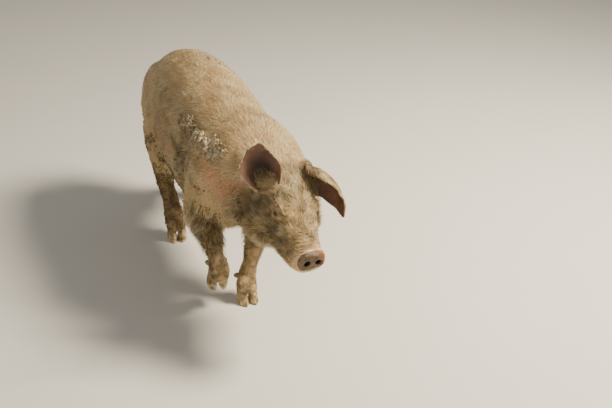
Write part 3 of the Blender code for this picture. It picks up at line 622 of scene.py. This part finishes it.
# The coat's tips reach the solids' surface, so the skin lies in by the coat's depth
coat_depth, length, crowd = np.array([COATS.get(name, LEG_COAT) for name in FLESH], float)[part_of].T
coat_depth *= 1.0 - 0.75 * ease(0.55, 0.95, share)
coat_depth *= 1.0 - is_leg * 0.6 * ease(0.22, 0.12, points[:, 2])
coat_depth *= (0.1 + 0.9 * ease(0.014, 0.030, span(from_eyes(points)))).prod(axis=0)
coat_depth = spread(coat_depth, edges, 8) * (1 - np.maximum(is_ear, is_disc))
points = points - corner_normals(points, triangles) * coat_depth[:, None]
normals = corner_normals(points, triangles)

# Bare places and painted shade: the cups of the ears and the snout's disc; near-black painted shade deep in
# the ears' cups and canals, in the nostrils, round the eyes and along the mouth's furrow; and the sore rim
inner_ear, painted_shade, hollow = np.zeros((3, len(points)))
for name, ear in EARS.items():
    faces = unit(np.array(ear["faces"]))
    cup = in_parts(name) * ease(-0.10, 0.25, normals @ faces)
    inner_ear = np.maximum(inner_ear, cup)
    from_root = points - ear_mouth(ear)
    painted_shade = np.maximum(painted_shade, ease(0.050, 0.012, span(from_root)) * cup)
    canal = ease(0.030, 0.018, span(from_root - 0.020 * faces))
    hollow = np.maximum(hollow, canal * np.maximum(cup, 1 - is_ear))
inner_ear = spread(inner_ear, edges, 2)
painted_shade = np.maximum(painted_shade, hollow)
on_disc = in_disc(points)
is_disc = spread(is_disc, edges, 2)
# Painted shade in the nostrils, in the gap between each eye and its lids, and along the mouth's furrow
for side in (-1, 1):
    nostril = on_disc - (0.004, side * NOSTRIL_SPACING / 2, NOSTRIL_RISE)
    painted_shade = np.maximum(painted_shade, is_disc * ease(0.0122, 0.0085, span(nostril)))
eye_span = span(from_eyes(points))
painted_shade = np.maximum(painted_shade, 0.75 * ease(0.0160, 0.0132, eye_span).max(axis=0))
side_on = ease(0.25, 0.6, np.abs(normals @ HEAD_AXES[:, 1])) * is_face
lips = from_mouth(in_head(points))
painted_shade = np.maximum(painted_shade, 0.85 * hump(lips, 0.0, 0.0024) * side_on)
edge_of_disc = on_disc[:, 1] + 0.3 * on_disc[:, 2] + 0.004 * ripple(points, 0.009, 50)
sore = ease(0.012, 0.026, edge_of_disc) * ease(-0.022, -0.008, on_disc[:, 2])
sore = (0.60 + 0.25 * ripple(points, 0.005, 52)) * is_disc * sore
bare = np.clip(np.stack((inner_ear, is_disc, painted_shade, sore), 1), 0, 1)
# The disc's own pale lower rim, and a painted highlight along the upward-facing top of the fold behind the
# disc
pale_rim = is_disc * ease(-0.012, -0.022, on_disc[:, 2] - 0.15 * on_disc[:, 1])
fold = hump(share, 0.935, 0.022) * ease(-0.2, 0.5, normals @ HEAD_AXES[:, 2])
pale_rim = np.maximum(pale_rim, 0.75 * fold * is_face)
skin_mesh = mesh_from("pig_skin", points, triangles)
set_marks(skin_mesh, marks=shown_marks, bare=bare, pale_rim=pale_rim)
skin = new_object("pig_skin", skin_mesh)
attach(skin, "root")
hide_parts(*FLESH)
skin_tree = tree_of(points, triangles)


# The lie of the coat: back along the trunk and down its sides, down the legs, up the face to the poll
def tail_way(places):
    """Along the tail from its root, round the curl to the tip."""
    root = np.array((-0.498, -0.0056, 0.478))
    path = [root, root + (-0.016, 0.0, 0.004)]
    centre = root + (-0.030, 0.006, -0.026)
    for step in range(1, 19):
        part = step / 18
        angle = math.pi / 2 + 2 * math.pi * 1.15 * part
        path.append(centre + (
            math.cos(angle) * 0.026 * 0.62, 0.030 * part,
            math.sin(angle) * 0.026 * (1 - 0.15 * part) - 0.030 * part,
        ))
    for _ in range(6):
        path.append(path[-1] + (-0.001, 0.001, -0.009))
    path = np.array(path)
    ways = unit(np.gradient(path, axis=0))
    return ways[np.argmin(span(places[:, None, :] - path[None]), axis=1)]


def turned(lie, share, way):
    """The lie of the coat, turned into this way as far as the share says."""
    return lie * (1 - share[:, None]) + share[:, None] * way


up = normals[:, 2]
lie = np.stack((
    -np.ones(len(points)), 0.45 * np.tanh(points[:, 1] / 0.03) * np.clip(up, 0, 1), -0.80 * (1 - np.abs(up)),
), 1)
lie = turned(lie, is_leg * ease(0.42, 0.30, points[:, 2]), np.array((-0.30, 0.0, -1.0)))
up_face = np.stack((
    -np.ones(len(points)), 0.30 * np.tanh(on_head[:, 1] / 0.03),
    -0.45 * ease(0.01, -0.05, on_head[:, 2]),
), 1)
lie = turned(lie, is_face, from_head(up_face))
for name, ear in EARS.items():
    root = POLL + from_head(ear["root"])
    lie = turned(lie, in_parts(name), unit(points - root + 0.05 * np.array(ear["end"])))
own = in_parts("tail") > 0.5
lie[own] = tail_way(points[own])
lie = along_skin(spread(unit(lie), edges, 14, 0.5 * (1 - in_parts("tail"))), normals)

# The coat is shorter on the face and the shanks, and thin at the lips, the lids and under the mud
length *= 1.0 - 0.62 * ease(0.30, 0.92, share) * is_face
length *= 1.0 - is_leg * 0.55 * ease(0.26, 0.14, points[:, 2])
length *= 1.0 + 0.25 * ease(0.32, 0.24, points[:, 2]) * in_parts("torso")
length *= (0.28 + 0.72 * ease(0.018, 0.046, eye_span)).prod(axis=0)
length = spread(length, edges, 10)
crowd = crowd * (1 - inner_ear) * (1 - hollow) * (1 - spread(is_disc, edges, 3))
crowd *= 1.0 - 0.45 * shown_marks[:, 2]
crowd *= 1.0 - 0.45 * shown_marks[:, 0] * is_leg
crowd *= 1.0 - 0.92 * hump(lips, 0.0, 0.0062) * side_on
crowd *= 1.0 - 0.72 * ease(0.72, 0.93, share) * is_face
round_eyes = ease(0.0165, 0.0250, eye_span) * (0.5 + 0.5 * ease(0.022, 0.044, eye_span))
crowd *= round_eyes.prod(axis=0)


def unwrapped():
    """A coarse copy of the skin, unwrapped, as a tree to look in and each face's corners with their UVs."""
    obj = new_object("unwrap", mesh_from("unwrap", points, triangles))
    applied(obj, "DECIMATE", ratio=UNWRAP_TRIANGLES / len(triangles))
    pick(obj)
    bpy.ops.object.mode_set(mode="EDIT")
    bpy.ops.mesh.select_all(action="SELECT")
    bpy.ops.uv.smart_project(angle_limit=math.radians(66), island_margin=0.004)
    bpy.ops.object.mode_set(mode="OBJECT")
    mesh = obj.data
    corners, faces = arrays_of(mesh)
    layer = np.empty(len(mesh.loops) * 2, np.float32)
    mesh.uv_layers.active.data.foreach_get("uv", layer)
    loops = np.empty(len(mesh.loop_triangles) * 3, np.int32)
    mesh.loop_triangles.foreach_get("loops", loops)
    flat = layer.reshape(-1, 2)[loops].reshape(-1, 3, 2)
    bpy.data.objects.remove(obj)
    return tree_of(corners, faces), corners[faces], flat


# A flat copy of the skin's own shape, for each tuft's place on the coat's texture
flat_tree, flat_corners, flat_uvs = unwrapped()


def uvs_at(places):
    """Where these places on the skin lie on its unwrap."""
    found = [flat_tree.find_nearest(Vector(place)) for place in places]
    faces = np.array([hit[2] for hit in found])
    on_face = np.array([tuple(hit[0]) for hit in found])
    a, b, c = flat_corners[faces].transpose(1, 0, 2)
    ab, ac, ap = b - a, c - a, on_face - a
    d00, d01, d11 = (ab * ab).sum(1), (ab * ac).sum(1), (ac * ac).sum(1)
    d20, d21 = (ap * ab).sum(1), (ap * ac).sum(1)
    whole = np.maximum(d00 * d11 - d01 * d01, 1e-20)
    v = np.clip((d11 * d20 - d01 * d21) / whole, 0, 1)
    w = np.clip((d00 * d21 - d01 * d20) / whole, 0, 1)
    u = np.clip(1 - v - w, 0, 1)
    return sum(flat_uvs[faces, corner] * part[:, None] for corner, part in enumerate((u, v, w)))


def roots_for(weight, seed):
    """Root places spread over the skin by the weight at its corners, in tufts to the square metre."""
    draw = np.random.default_rng(seed)
    a, b, c = points[triangles.T]
    area = span(np.cross(b - a, c - a)) / 2
    total = np.cumsum(area * weight[triangles].mean(axis=1))
    count = int(total[-1])
    spots = (np.arange(count) + draw.random(count)) / count * total[-1]
    chosen = np.minimum(np.searchsorted(total, spots), len(triangles) - 1)
    one, two = np.sqrt(draw.random(count)), draw.random(count)
    mix = np.stack((1 - one, one * (1 - two), one * two), 1)
    return triangles[chosen], mix


def at_roots(values, roots):
    """A value of the skin's corners, read at the roots."""
    corners, mix = roots
    return np.einsum("nk,nk...->n...", mix, values[corners])


def grow(name, weight, seed, segments, width, lift, stray, longer=1.0, sag=0.0):
    """Tufts over the skin as closed, tapered, three-sided blades that follow it and lie along the coat."""
    draw = np.random.default_rng(seed + 1)
    roots = roots_for(weight, seed)
    place, normal = at_roots(points, roots), unit(at_roots(normals, roots))
    count = len(place)
    # Neighbours lean together in wisps about 16 mm across, and each tuft strays a little
    wisp = np.stack([ripple(place, 0.016, seed + 10 + axis) for axis in range(3)], 1)
    way = at_roots(lie, roots) + stray * (1.15 * wisp + 0.55 * draw.normal(size=(count, 3)))
    way = along_skin(way + np.array((0.0, 0.0, -sag)), normal)
    reach = at_roots(length, roots) * longer * draw.uniform(0.65, 1.2, count)
    rise = (at_roots(coat_depth, roots) + 0.0006) * lift * draw.uniform(0.45, 1.05, count)
    half = width / 2 * draw.uniform(0.7, 1.3, count)
    bend = draw.normal(0.0, 0.11, count) + 0.15 * ripple(place, 0.02, seed + 20)
    across = np.cross(normal, way)
    rings = []
    outwards, spot = normal, place - normal * 0.0008
    for ring in range(segments + 1):
        part = ring / segments
        if ring:
            ahead = place + way * (reach * part)[:, None] + across * (reach * bend * part**2)[:, None]
            hits = [skin_tree.find_nearest(Vector(p), SKIN_SEARCH) for p in ahead]
            ground = np.array([tuple(hit[0] or p) for hit, p in zip(hits, ahead)])
            outwards = unit(outwards + np.array([tuple(hit[1] or (0, 0, 0)) for hit in hits]) * 1.5)
            spot = ground + outwards * (rise * part**1.15 + 0.0003)[:, None]
        if ring == segments:
            rings.append(spot[:, None, :])
            break
        wide = half * TUFT_WIDTHS[ring]
        beside = unit(np.cross(outwards, way)) * wide[:, None]
        ridge = outwards * (wide * 0.55)[:, None]
        rings.append(np.stack((spot - beside, spot + beside, spot + ridge), 1))
    blade = np.concatenate(rings, axis=1)
    # Left out: a tuft that would stand past the solids' box, or whose tip landed on another fold of skin
    low, high = np.array(cad_low) - BOX_SPARE, np.array(cad_high) + BOX_SPARE
    inside = ((blade > low) & (blade < high)).all(axis=(1, 2))
    inside &= span(blade[:, -1] - place) < 1.3 * reach + rise
    roots, place, blade = (roots[0][inside], roots[1][inside]), place[inside], blade[inside]
    count, per = blade.shape[:2]
    faces = [(0, 1, 2)]
    for ring in range(segments - 1):
        low = ring * TUFT_SIDES
        for k in range(TUFT_SIDES):
            after = (k + 1) % TUFT_SIDES
            faces.append((low + k, low + TUFT_SIDES + k, low + after))
            faces.append((low + after, low + TUFT_SIDES + k, low + TUFT_SIDES + after))
    low = (segments - 1) * TUFT_SIDES
    for k in range(TUFT_SIDES):
        faces.append((low + k, per - 1, low + (k + 1) % TUFT_SIDES))
    faces = np.array(faces)
    along = np.concatenate([[ring / segments] * TUFT_SIDES for ring in range(segments)] + [[1.0]])
    over = np.tile((0.0, 1.0, 0.5), segments).tolist() + [0.5]
    patch = np.stack((np.array(over) - 0.5, along - 0.5), 1) * TUFT_PATCH
    tuft_uv = uvs_at(place)[:, None, :] + patch[None]
    clump = 0.18 * ripple(place, 0.03, seed + 30) + 0.7 * stray * ripple(place, 0.009, seed + 31)
    tone = np.clip(draw.normal(0.55, 0.20, count) + clump, 0, 1)
    root_marks = marks(place)
    limit = PIECE_TRIANGLES // len(faces)
    for start in range(0, count, limit):
        chosen = slice(start, min(start + limit, count))
        size = chosen.stop - start
        all_faces = (faces[None] + (np.arange(size) * per)[:, None, None]).reshape(-1, 3)
        mesh = mesh_from(f"{name}_{start // limit + 1}", blade[chosen].reshape(-1, 3), all_faces)
        set_uvs(mesh, tuft_uv[chosen].reshape(-1, 2)[all_faces.ravel()])
        set_marks(
            mesh, marks=np.repeat(root_marks[chosen], per, axis=0),
            along=np.tile(along, size), tone=np.repeat(tone[chosen], per),
        )
        coat = new_object(mesh.name, mesh)
        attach(coat, "root")
        coat_pieces.append(coat)


coat_pieces = []
on_trunk = in_parts("torso", "neck") + is_leg * ease(0.22, 0.30, points[:, 2])
on_trunk = np.clip(spread(on_trunk, edges, 3), 0, 1)
on_face = np.clip(spread(is_face * ease(0.0, 0.25, share), edges, 4), 0, 1)
# Each coat has its tufts to the square metre, seed, segments, width, lift over the skin and stray
grow("trunk_coat", crowd * 1.20 * on_trunk, 100, 2, 0.0009, 0.9, 0.085)
grow("short_coat", crowd * 1.1 * (1 - on_trunk) * (1 - on_face), 200, 2, 0.0010, 1.0, 0.18)
grow("face_coat", crowd * 1.38 * on_face, 250, 3, 0.0008, 1.9, 0.34, longer=1.10)

# The longer hair: jowls and jaw, elbows, belly, brows, the ears' rims and the tail's tassel
beard = is_face * ease(-0.02, -0.06, on_head[:, 2]) * ease(0.80, 0.45, share)
elbow = np.exp(-(((points - (0.175, 0.0, 0.265)) / (0.050, 1.0, 0.060)) ** 2).sum(1)) * is_leg
belly = in_parts("torso") * ease(-0.2, -0.8, normals[:, 2])
brow = np.exp(-(((share - 0.40) / 0.08) ** 2 + ((on_head[:, 2] - 0.040) / 0.02) ** 2)) * is_face
tassel = in_parts("tail") * ease(0.405, 0.375, points[:, 2])
over_eyes = ease(0.001, 0.006, from_eyes(points)[..., 2])
lashes = (hump(eye_span, 0.0160, 0.0013) * over_eyes).max(axis=0)
ear_rim = spread(inner_ear, edges, 5)
ear_rim = is_ear * ear_rim * (1 - ear_rim) * 4
grow("shaggy_coat", beard * 90000 + elbow * 110000, 350, 3, 0.0013, 4.2, 0.40, longer=1.9, sag=0.65)
longer = belly * 16000 + brow * 40000 + tassel * 200000 + ear_rim * 110000 + lashes * 120000
grow("long_coat", longer, 300, 3, 0.0012, 2.4, 0.34, longer=1.5, sag=0.35)


def flakes(name, weight, seed):
    """Dried mud in the coat as low, many-sided crumbs, 3 to 10 mm across, and up to 17 mm on the crust."""
    draw = np.random.default_rng(seed + 1)
    roots = roots_for(weight, seed)
    place, normal = at_roots(points, roots), unit(at_roots(normals, roots))
    count, sides = len(place), CRUMB_SIDES
    one = unit(np.cross(normal, draw.normal(size=(count, 3))))
    two = np.cross(normal, one)
    turn = 2 * math.pi * (np.arange(sides) + 0.5 * draw.random((count, sides))) / sides
    dry = at_roots(shown_marks[:, 1], roots)
    reach = (draw.uniform(0.0018, 0.0050, count) * (1 + 0.75 * dry))[:, None]
    reach = reach * draw.uniform(0.65, 1.25, (count, sides))
    flat = one[:, None] * (np.cos(turn) * reach)[..., None] + two[:, None] * (np.sin(turn) * reach)[..., None]
    top = at_roots(coat_depth, roots) * draw.uniform(0.75, 0.95, count) + 0.0008
    base = place - normal * 0.0006
    rim = place + normal * top[:, None]
    tilt = draw.normal(0.0, 0.12, (count, 1, 1)) * flat[..., :1] * normal[:, None]
    blade = np.concatenate((
        base[:, None], base[:, None] + flat, rim[:, None] + flat * 0.86 + tilt,
        (rim + normal * draw.uniform(0.0002, 0.0009, count)[:, None])[:, None],
    ), axis=1)
    faces = []
    for k in range(sides):
        after = (k + 1) % sides
        faces += [(0, 1 + after, 1 + k), (1 + k, 1 + after, 1 + sides + after)]
        faces += [(1 + k, 1 + sides + after, 1 + sides + k)]
        faces += [(1 + sides + k, 1 + sides + after, 1 + 2 * sides)]
    per = blade.shape[1]
    faces = (np.array(faces)[None] + (np.arange(count) * per)[:, None, None]).reshape(-1, 3)
    mesh = mesh_from(name, blade.reshape(-1, 3), faces)
    around = np.concatenate(([0.0], turn[0], turn[0], [0.0]))
    patch = np.stack((np.cos(around), np.sin(around)), 1) * TUFT_PATCH / 2
    patch[[0, -1]] = 0.0
    set_uvs(mesh, (uvs_at(place)[:, None, :] + patch[None]).reshape(-1, 2)[faces.ravel()])
    set_marks(mesh, marks=np.repeat(marks(place), per, axis=0), tone=np.repeat(draw.random(count), per))
    crumbs = new_object(name, mesh)
    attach(crumbs, "root")
    return crumbs


on_legs = shown_marks[:, 0] * is_leg * ease(0.02, 0.05, points[:, 2])
crust_places = ease(0.25, 0.6, shown_marks[:, 1])
on_body = shown_marks[:, 0] * (1 - is_leg) * (1 - is_ear) * ease(0.3, 0.7, shown_marks[:, 0])
mud_crumbs = flakes("mud_crumbs", crust_places * 48000 + on_legs * 16000 + on_body * 12000, 400)


# The claws and dewclaws: the solids' own shape, rounded, with growth rings round the horn
def horn_piece(name):
    """One claw from its solid: fused finely, eased, and ringed as horn grows."""
    bm = bmesh.new()
    bm.from_mesh(cad[name].data)
    bmesh.ops.remove_doubles(bm, verts=bm.verts, dist=WELD)
    mesh = bpy.data.meshes.new(name + "_horn")
    bm.to_mesh(mesh)
    bm.free()
    piece = new_object(name + "_horn", mesh)
    corners, faces = arrays_of(applied(piece, "REMESH", mode="VOXEL", voxel_size=CLAW_VOXEL))
    corners = spread(corners, edges_of(faces), 9)
    low, high = corners.min(0), corners.max(0)
    height = (corners[:, 2] - low[2]) / (high[2] - low[2])
    rings = folds(corners[:, 2] + 0.25 * (corners[:, 0] - low[0]), HORN_RINGS)
    move = 0.00022 * rings * ease(0.15, 0.5, height) + 0.00035 * ripple(corners, 0.007, 40)
    move = move * ease(0.02, 0.10, height)
    corners = corners + corner_normals(corners, faces) * move[:, None]
    piece.data = mesh_from(name + "_horn", corners, faces)
    set_marks(piece.data, worn=1 - height)
    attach(piece, "root")
    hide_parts(name)
    return piece


horn_pieces = [horn_piece(name) for name in cad if "claw" in name]


def eyeball(name):
    """A smooth ball in the solid eye's place, with the slight bulge of its cornea."""
    mesh = bpy.data.meshes.new(name + "_ball")
    bm = bmesh.new()
    bmesh.ops.create_uvsphere(bm, u_segments=48, v_segments=32, radius=EYE_RADIUS)
    for vertex in bm.verts:
        off_axis = math.hypot(vertex.co.x, vertex.co.y)
        if vertex.co.z > 0 and off_axis < CORNEA_RADIUS:
            vertex.co.z += 0.0005 * (1 - (off_axis / CORNEA_RADIUS) ** 2)
    bm.to_mesh(mesh)
    bm.free()
    mesh.shade_smooth()
    ball = new_object(name + "_ball", mesh)
    looks = Vector(from_head(EYES[name])).normalized().to_track_quat("Z", "Y")
    ball.matrix_world = Matrix.Translation(Vector(middle_of(name))) @ looks.to_matrix().to_4x4()
    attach(ball, "root")
    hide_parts(name)
    return ball


eyeballs = [eyeball(name) for name in EYES]


def linear(code):
    """A linear colour from an sRGB hex value."""
    parts = [int(code[i:i + 2], 16) / 255 for i in (1, 3, 5)]
    return tuple(p / 12.92 if p <= 0.04045 else ((p + 0.055) / 1.055) ** 2.4 for p in parts) + (1.0,)


def wire(made, sockets):
    """Gives each of a node's sockets its value or sRGB colour, or a link from a node or a socket."""
    for socket, value in sockets.items():
        if isinstance(value, str):
            value = linear(value)
        if isinstance(value, bpy.types.Node):
            value = next(output for output in value.outputs if output.enabled)
        if isinstance(value, bpy.types.NodeSocket):
            made.id_data.links.new(value, made.inputs[socket])
        else:
            made.inputs[socket].default_value = value


def node(tree, kind, sockets=None, stops=(), **settings):
    """Adds a node with its settings, its sockets' values and links, and the stops of a ramp."""
    made = tree.nodes.new("ShaderNode" + kind)
    for name, value in settings.items():
        setattr(made, name, value)
    wire(made, sockets or {})
    for index, (place, colour) in enumerate(stops):
        ramp = made.color_ramp.elements
        stop = ramp[index] if index < 2 else ramp.new(place)
        stop.position, stop.color = place, linear(colour)
    return made


def new_material(name, roughness, ior):
    """A material with this roughness and refractive index, with its tree, its shader and its places."""
    material = bpy.data.materials.new(name)
    material.use_nodes = True
    tree = material.node_tree
    shader = tree.nodes["Principled BSDF"]
    wire(shader, {"Roughness": roughness, "IOR": ior})
    return material, tree, shader, node(tree, "TexCoord").outputs["Object"]


def dirtied_and_shaded(tree, colour, place):
    """The colour under the animal's marks: sore pink skin, grime of the face, painted shade at the ears'
    roots, wet mud, pale dry crust.
    """
    stored = node(tree, "Attribute", attribute_name="marks")
    parts = node(tree, "SeparateColor", {"Color": stored.outputs["Color"]})
    # Grains of soil are under 1 mm; they are drawn at about 6 mm, as finer ones blur into one tone.
    # Damp places are about 26 mm across
    grain, damp = (
        node(tree, "MapRange", {
            "Value": node(tree, "TexNoise", {"Vector": place, "Scale": scale, "Detail": detail}),
            "From Min": low, "From Max": high,
        }) for scale, detail, low, high in ((160.0, 4.0, 0.35, 0.68), (38.0, 3.0, 0.40, 0.62))
    )
    grime_and_ear_shade, mud, crust = (
        node(tree, "Mix", {0: pattern, 6: pale, 7: dark}, data_type="RGBA")
        for pattern, pale, dark in (
            (damp, "#9A8458", "#5C4C34"), (damp, "#857046", "#4E4028"), (grain, "#D2C4A4", "#9C8A68"),
        )
    )
    mud = node(tree, "Mix", {0: grain, 6: mud, 7: "#6B5A3A"}, data_type="RGBA")
    for mask, over in (
        (parts.outputs["Blue"], "#E6AA86"), (stored.outputs["Alpha"], grime_and_ear_shade),
        (parts.outputs["Red"], mud), (parts.outputs["Green"], crust),
    ):
        colour = node(tree, "Mix", {0: mask, 6: colour, 7: over}, data_type="RGBA")
    return colour


# Pig skin: thin and warm, a little oily, with creases about 2 mm apart that break up its sheen. Its
# blotches are about 45 mm across, and the smears of mud on the disc 13 mm. Pores are under 1 mm; they are
# drawn at about 3 mm so that they show
skin_material, tree, shader, place = new_material("pig_skin", 0.58, 1.40)
mottle, pores, smears = (
    node(tree, "MapRange", {
        "Value": node(tree, "TexNoise", {"Vector": place, "Scale": scale, "Detail": detail}),
        "From Min": low, "From Max": high,
    }) for scale, detail, low, high in (
        (22.0, 4.0, 0.35, 0.65), (300.0, 3.0, 0.45, 0.75), (75.0, 5.0, 0.46, 0.60),
    )
)
# The ears' inner skin is brown, darkened further as painted shade in the cups
colour, ear_skin_and_painted_shade, disc_skin = (
    node(tree, "Mix", {0: mottle, 6: pale, 7: dark}, data_type="RGBA")
    for pale, dark in (("#D8B587", "#CA9E74"), ("#7A5A46", "#543C2E"), ("#93795E", "#6A5641"))
)
stored = node(tree, "Attribute", attribute_name="bare")
bare_parts = node(tree, "SeparateColor", {"Color": stored.outputs["Color"]})
for mask, over in ((pores, "#5C4A39"), (smears, "#574833"), (stored.outputs["Alpha"], "#7C3C24")):
    disc_skin = node(tree, "Mix", {0: mask, 6: disc_skin, 7: over}, data_type="RGBA")
# The disc's pale lower rim, and a painted highlight on the top of the fold behind the disc
rim = node(tree, "Attribute", attribute_name="pale_rim").outputs["Fac"]
colour = dirtied_and_shaded(tree, colour, place)
# Over the marks: the ears' inner skin, the disc, the pale rim, then near-black painted shade in the ears'
# canals and cup roots, the nostrils, round the eyes and along the mouth
for mask, over in (
    (bare_parts.outputs["Red"], ear_skin_and_painted_shade), (bare_parts.outputs["Green"], disc_skin),
    (rim, "#CFBD9B"), (bare_parts.outputs["Blue"], "#2A1B15"),
):
    colour = node(tree, "Mix", {0: mask, 6: colour, 7: over}, data_type="RGBA")
creases = node(tree, "TexVoronoi", {"Vector": place, "Scale": 480.0}, feature="DISTANCE_TO_EDGE")
bump = node(tree, "Bump", {"Height": creases, "Strength": 0.5, "Distance": 0.0008})
wire(shader, {"Base Color": colour, "Normal": bump})
skin.data.materials.append(skin_material)

# Pig bristle: flattened hair, pale with bright tips that catch the light, dull where mud has dried on it
bristle, tree, shader, place = new_material("pig_bristle", 0.46, 1.55)
tone = node(tree, "Attribute", attribute_name="tone").outputs["Fac"]
along = node(tree, "Attribute", attribute_name="along").outputs["Fac"]
hair = node(tree, "Mix", {0: tone, 6: "#D6B780", 7: "#FFF3CB"}, data_type="RGBA")
dirty_and_shaded = dirtied_and_shaded(tree, hair, place)
at_root = node(tree, "MapRange", {"Value": along, "From Min": 0.9, "From Max": 0.0})
colour = node(
    tree, "Mix", {0: at_root, 6: dirty_and_shaded, 7: "#CBB180"}, data_type="RGBA", blend_type="MULTIPLY")
stored = node(tree, "Attribute", attribute_name="marks").outputs["Color"]
muddy = node(tree, "SeparateColor", {"Color": stored}).outputs["Red"]
clean = node(tree, "MapRange", {"Value": muddy, "To Min": 0.33, "To Max": 0.05})
at_tip = node(tree, "MapRange", {"Value": along, "From Min": 0.4, "From Max": 1.0, "To Max": clean})
colour = node(tree, "Mix", {0: at_tip, 6: colour, 7: hair}, data_type="RGBA")
wire(shader, {"Base Color": colour})
for piece in coat_pieces:
    piece.data.materials.append(bristle)

# Dried mud: matt and crumbly, with grit about 1 mm across, paler where it has dried through
dried_mud, tree, shader, place = new_material("dried_mud", 0.92, 1.50)
tone = node(tree, "Attribute", attribute_name="tone").outputs["Fac"]
colour = node(tree, "Mix", {0: tone, 6: "#7A6846", 7: "#A08A62"}, data_type="RGBA")
colour = dirtied_and_shaded(tree, colour, place)
grit = node(tree, "TexNoise", {"Vector": place, "Scale": 900.0, "Detail": 3.0})
bump = node(tree, "Bump", {"Height": grit, "Strength": 0.6, "Distance": 0.0006})
wire(shader, {"Base Color": colour, "Normal": bump})
mud_crumbs.data.materials.append(dried_mud)

# Claw horn: dense keratin with a soft shine, worn paler at the tip. The ground leaves stains about 14 mm
# across on it, and scratches that are drawn at about 2 mm so that they show
horn, tree, shader, place = new_material("claw_horn", 0.42, 1.54)
worn = node(tree, "Attribute", attribute_name="worn").outputs["Fac"]
worn = node(tree, "MapRange", {"Value": worn, "From Min": 0.2, "From Max": 0.9})
colour = node(tree, "Mix", {0: worn, 6: "#9C8257", 7: "#CBB180"}, data_type="RGBA")
stain = node(tree, "TexNoise", {"Vector": place, "Scale": 70.0, "Detail": 4.0})
stain = node(tree, "MapRange", {"Value": stain, "From Min": 0.38, "From Max": 0.62})
colour = node(tree, "Mix", {0: stain, 6: colour, 7: "#66522F"}, data_type="RGBA")
scratches = node(tree, "TexNoise", {"Vector": place, "Scale": 420.0, "Detail": 2.0})
bump = node(tree, "Bump", {"Height": scratches, "Strength": 0.3, "Distance": 0.0005})
wire(shader, {"Base Color": colour, "Normal": bump})
for piece in horn_pieces:
    piece.data.materials.append(horn)

# A wet eye: brown iris round a dark pupil, and a clear layer over both that mirrors the lamps
wet_eye, tree, shader, place = new_material("wet_eye", 0.08, 1.38)
flat = node(tree, "VectorMath", {0: place, 1: (1.0, 1.0, 0.0)}, operation="MULTIPLY")
flat = flat.outputs["Vector"]
off_axis = node(tree, "VectorMath", {0: flat}, operation="LENGTH").outputs["Value"]
ring = node(tree, "MapRange", {"Value": off_axis, "From Min": 0.0, "From Max": 0.010})
iris = node(tree, "ValToRGB", {"Fac": ring}, stops=(
    (0.0, "#080504"), (0.30, "#0B0705"), (0.36, "#4A2C18"),
    (0.60, "#5E3A20"), (0.66, "#24160D"), (0.80, "#8F6F5A"),
))
wire(shader, {"Base Color": iris, "Coat Weight": 0.25, "Coat Roughness": 0.03})
for ball in eyeballs:
    ball.data.materials.append(wet_eye)

# Studio floor: rolled matt paint, with a faint unevenness about half a metre across
paint, tree, shader, place = new_material("rolled_floor_paint", 0.9, 1.50)
roller = node(tree, "TexNoise", {"Vector": place, "Scale": 2.2, "Detail": 5.0})
colour = node(tree, "Mix", {0: roller, 6: "#DCD8CF", 7: "#D5D1C7"}, data_type="RGBA")
wire(shader, {"Base Color": colour})

FLOOR_HALF = 40
floor_mesh = bpy.data.meshes.new("studio_floor")
floor_corners = [(x * FLOOR_HALF, y * FLOOR_HALF, 0) for x, y in ((-1, -1), (1, -1), (1, 1), (-1, 1))]
floor_mesh.from_pydata(floor_corners, [], [(0, 1, 2, 3)])
floor = new_object("studio_floor", floor_mesh)
floor_mesh.materials.append(paint)

# The camera stands where the photograph was taken from: above, ahead of the right shoulder. The animal is
# left of the middle there, so the camera's axis is turned to the right of it and a little down
CAMERA_PLACE = (2.0928, -0.6950, 1.3901)
TURN_RIGHT, TURN_DOWN = 0.0948, 0.0219
camera_data = bpy.data.cameras.new("camera")
camera_data.lens, camera_data.sensor_width = 48.9, 36.0
camera = new_object("camera", camera_data)
view_out = Vector((-0.8456, 0.2852, -0.4512))
view_right = Vector((0.3196, 0.9475, 0.0))
view_up = Vector((-0.4275, 0.1442, 0.8924))
axis = (view_out + view_right * TURN_RIGHT - view_up * TURN_DOWN).normalized()
across = axis.cross(view_up).normalized()
turn = Matrix((across, across.cross(axis), -axis)).transposed().to_4x4()
camera.matrix_world = Matrix.Translation(CAMERA_PLACE) @ turn
bpy.context.scene.camera = camera


def soft_light(name, place, aim, size, power, colour):
    """A square studio lamp that looks at a point."""
    data = bpy.data.lights.new(name, "AREA")
    data.size, data.energy, data.color = size, power, linear(colour)[:3]
    lamp = new_object(name, data)
    lamp.location = place
    lamp.rotation_euler = (Vector(aim) - lamp.location).to_track_quat("-Z", "Y").to_euler()


BODY_MIDDLE = (0.1, 0.0, 0.35)
soft_light("key", (0.9, 2.0, 2.7), BODY_MIDDLE, 0.9, 290, "#FFF3DC")
soft_light("fill", (2.4, -2.0, 1.6), BODY_MIDDLE, 2.2, 16, "#FFF8F0")
world = bpy.data.worlds.new("studio")
world.use_nodes = True
wire(world.node_tree.nodes["Background"], {"Color": "#F2F0EC", "Strength": 0.36})
bpy.context.scene.world = world
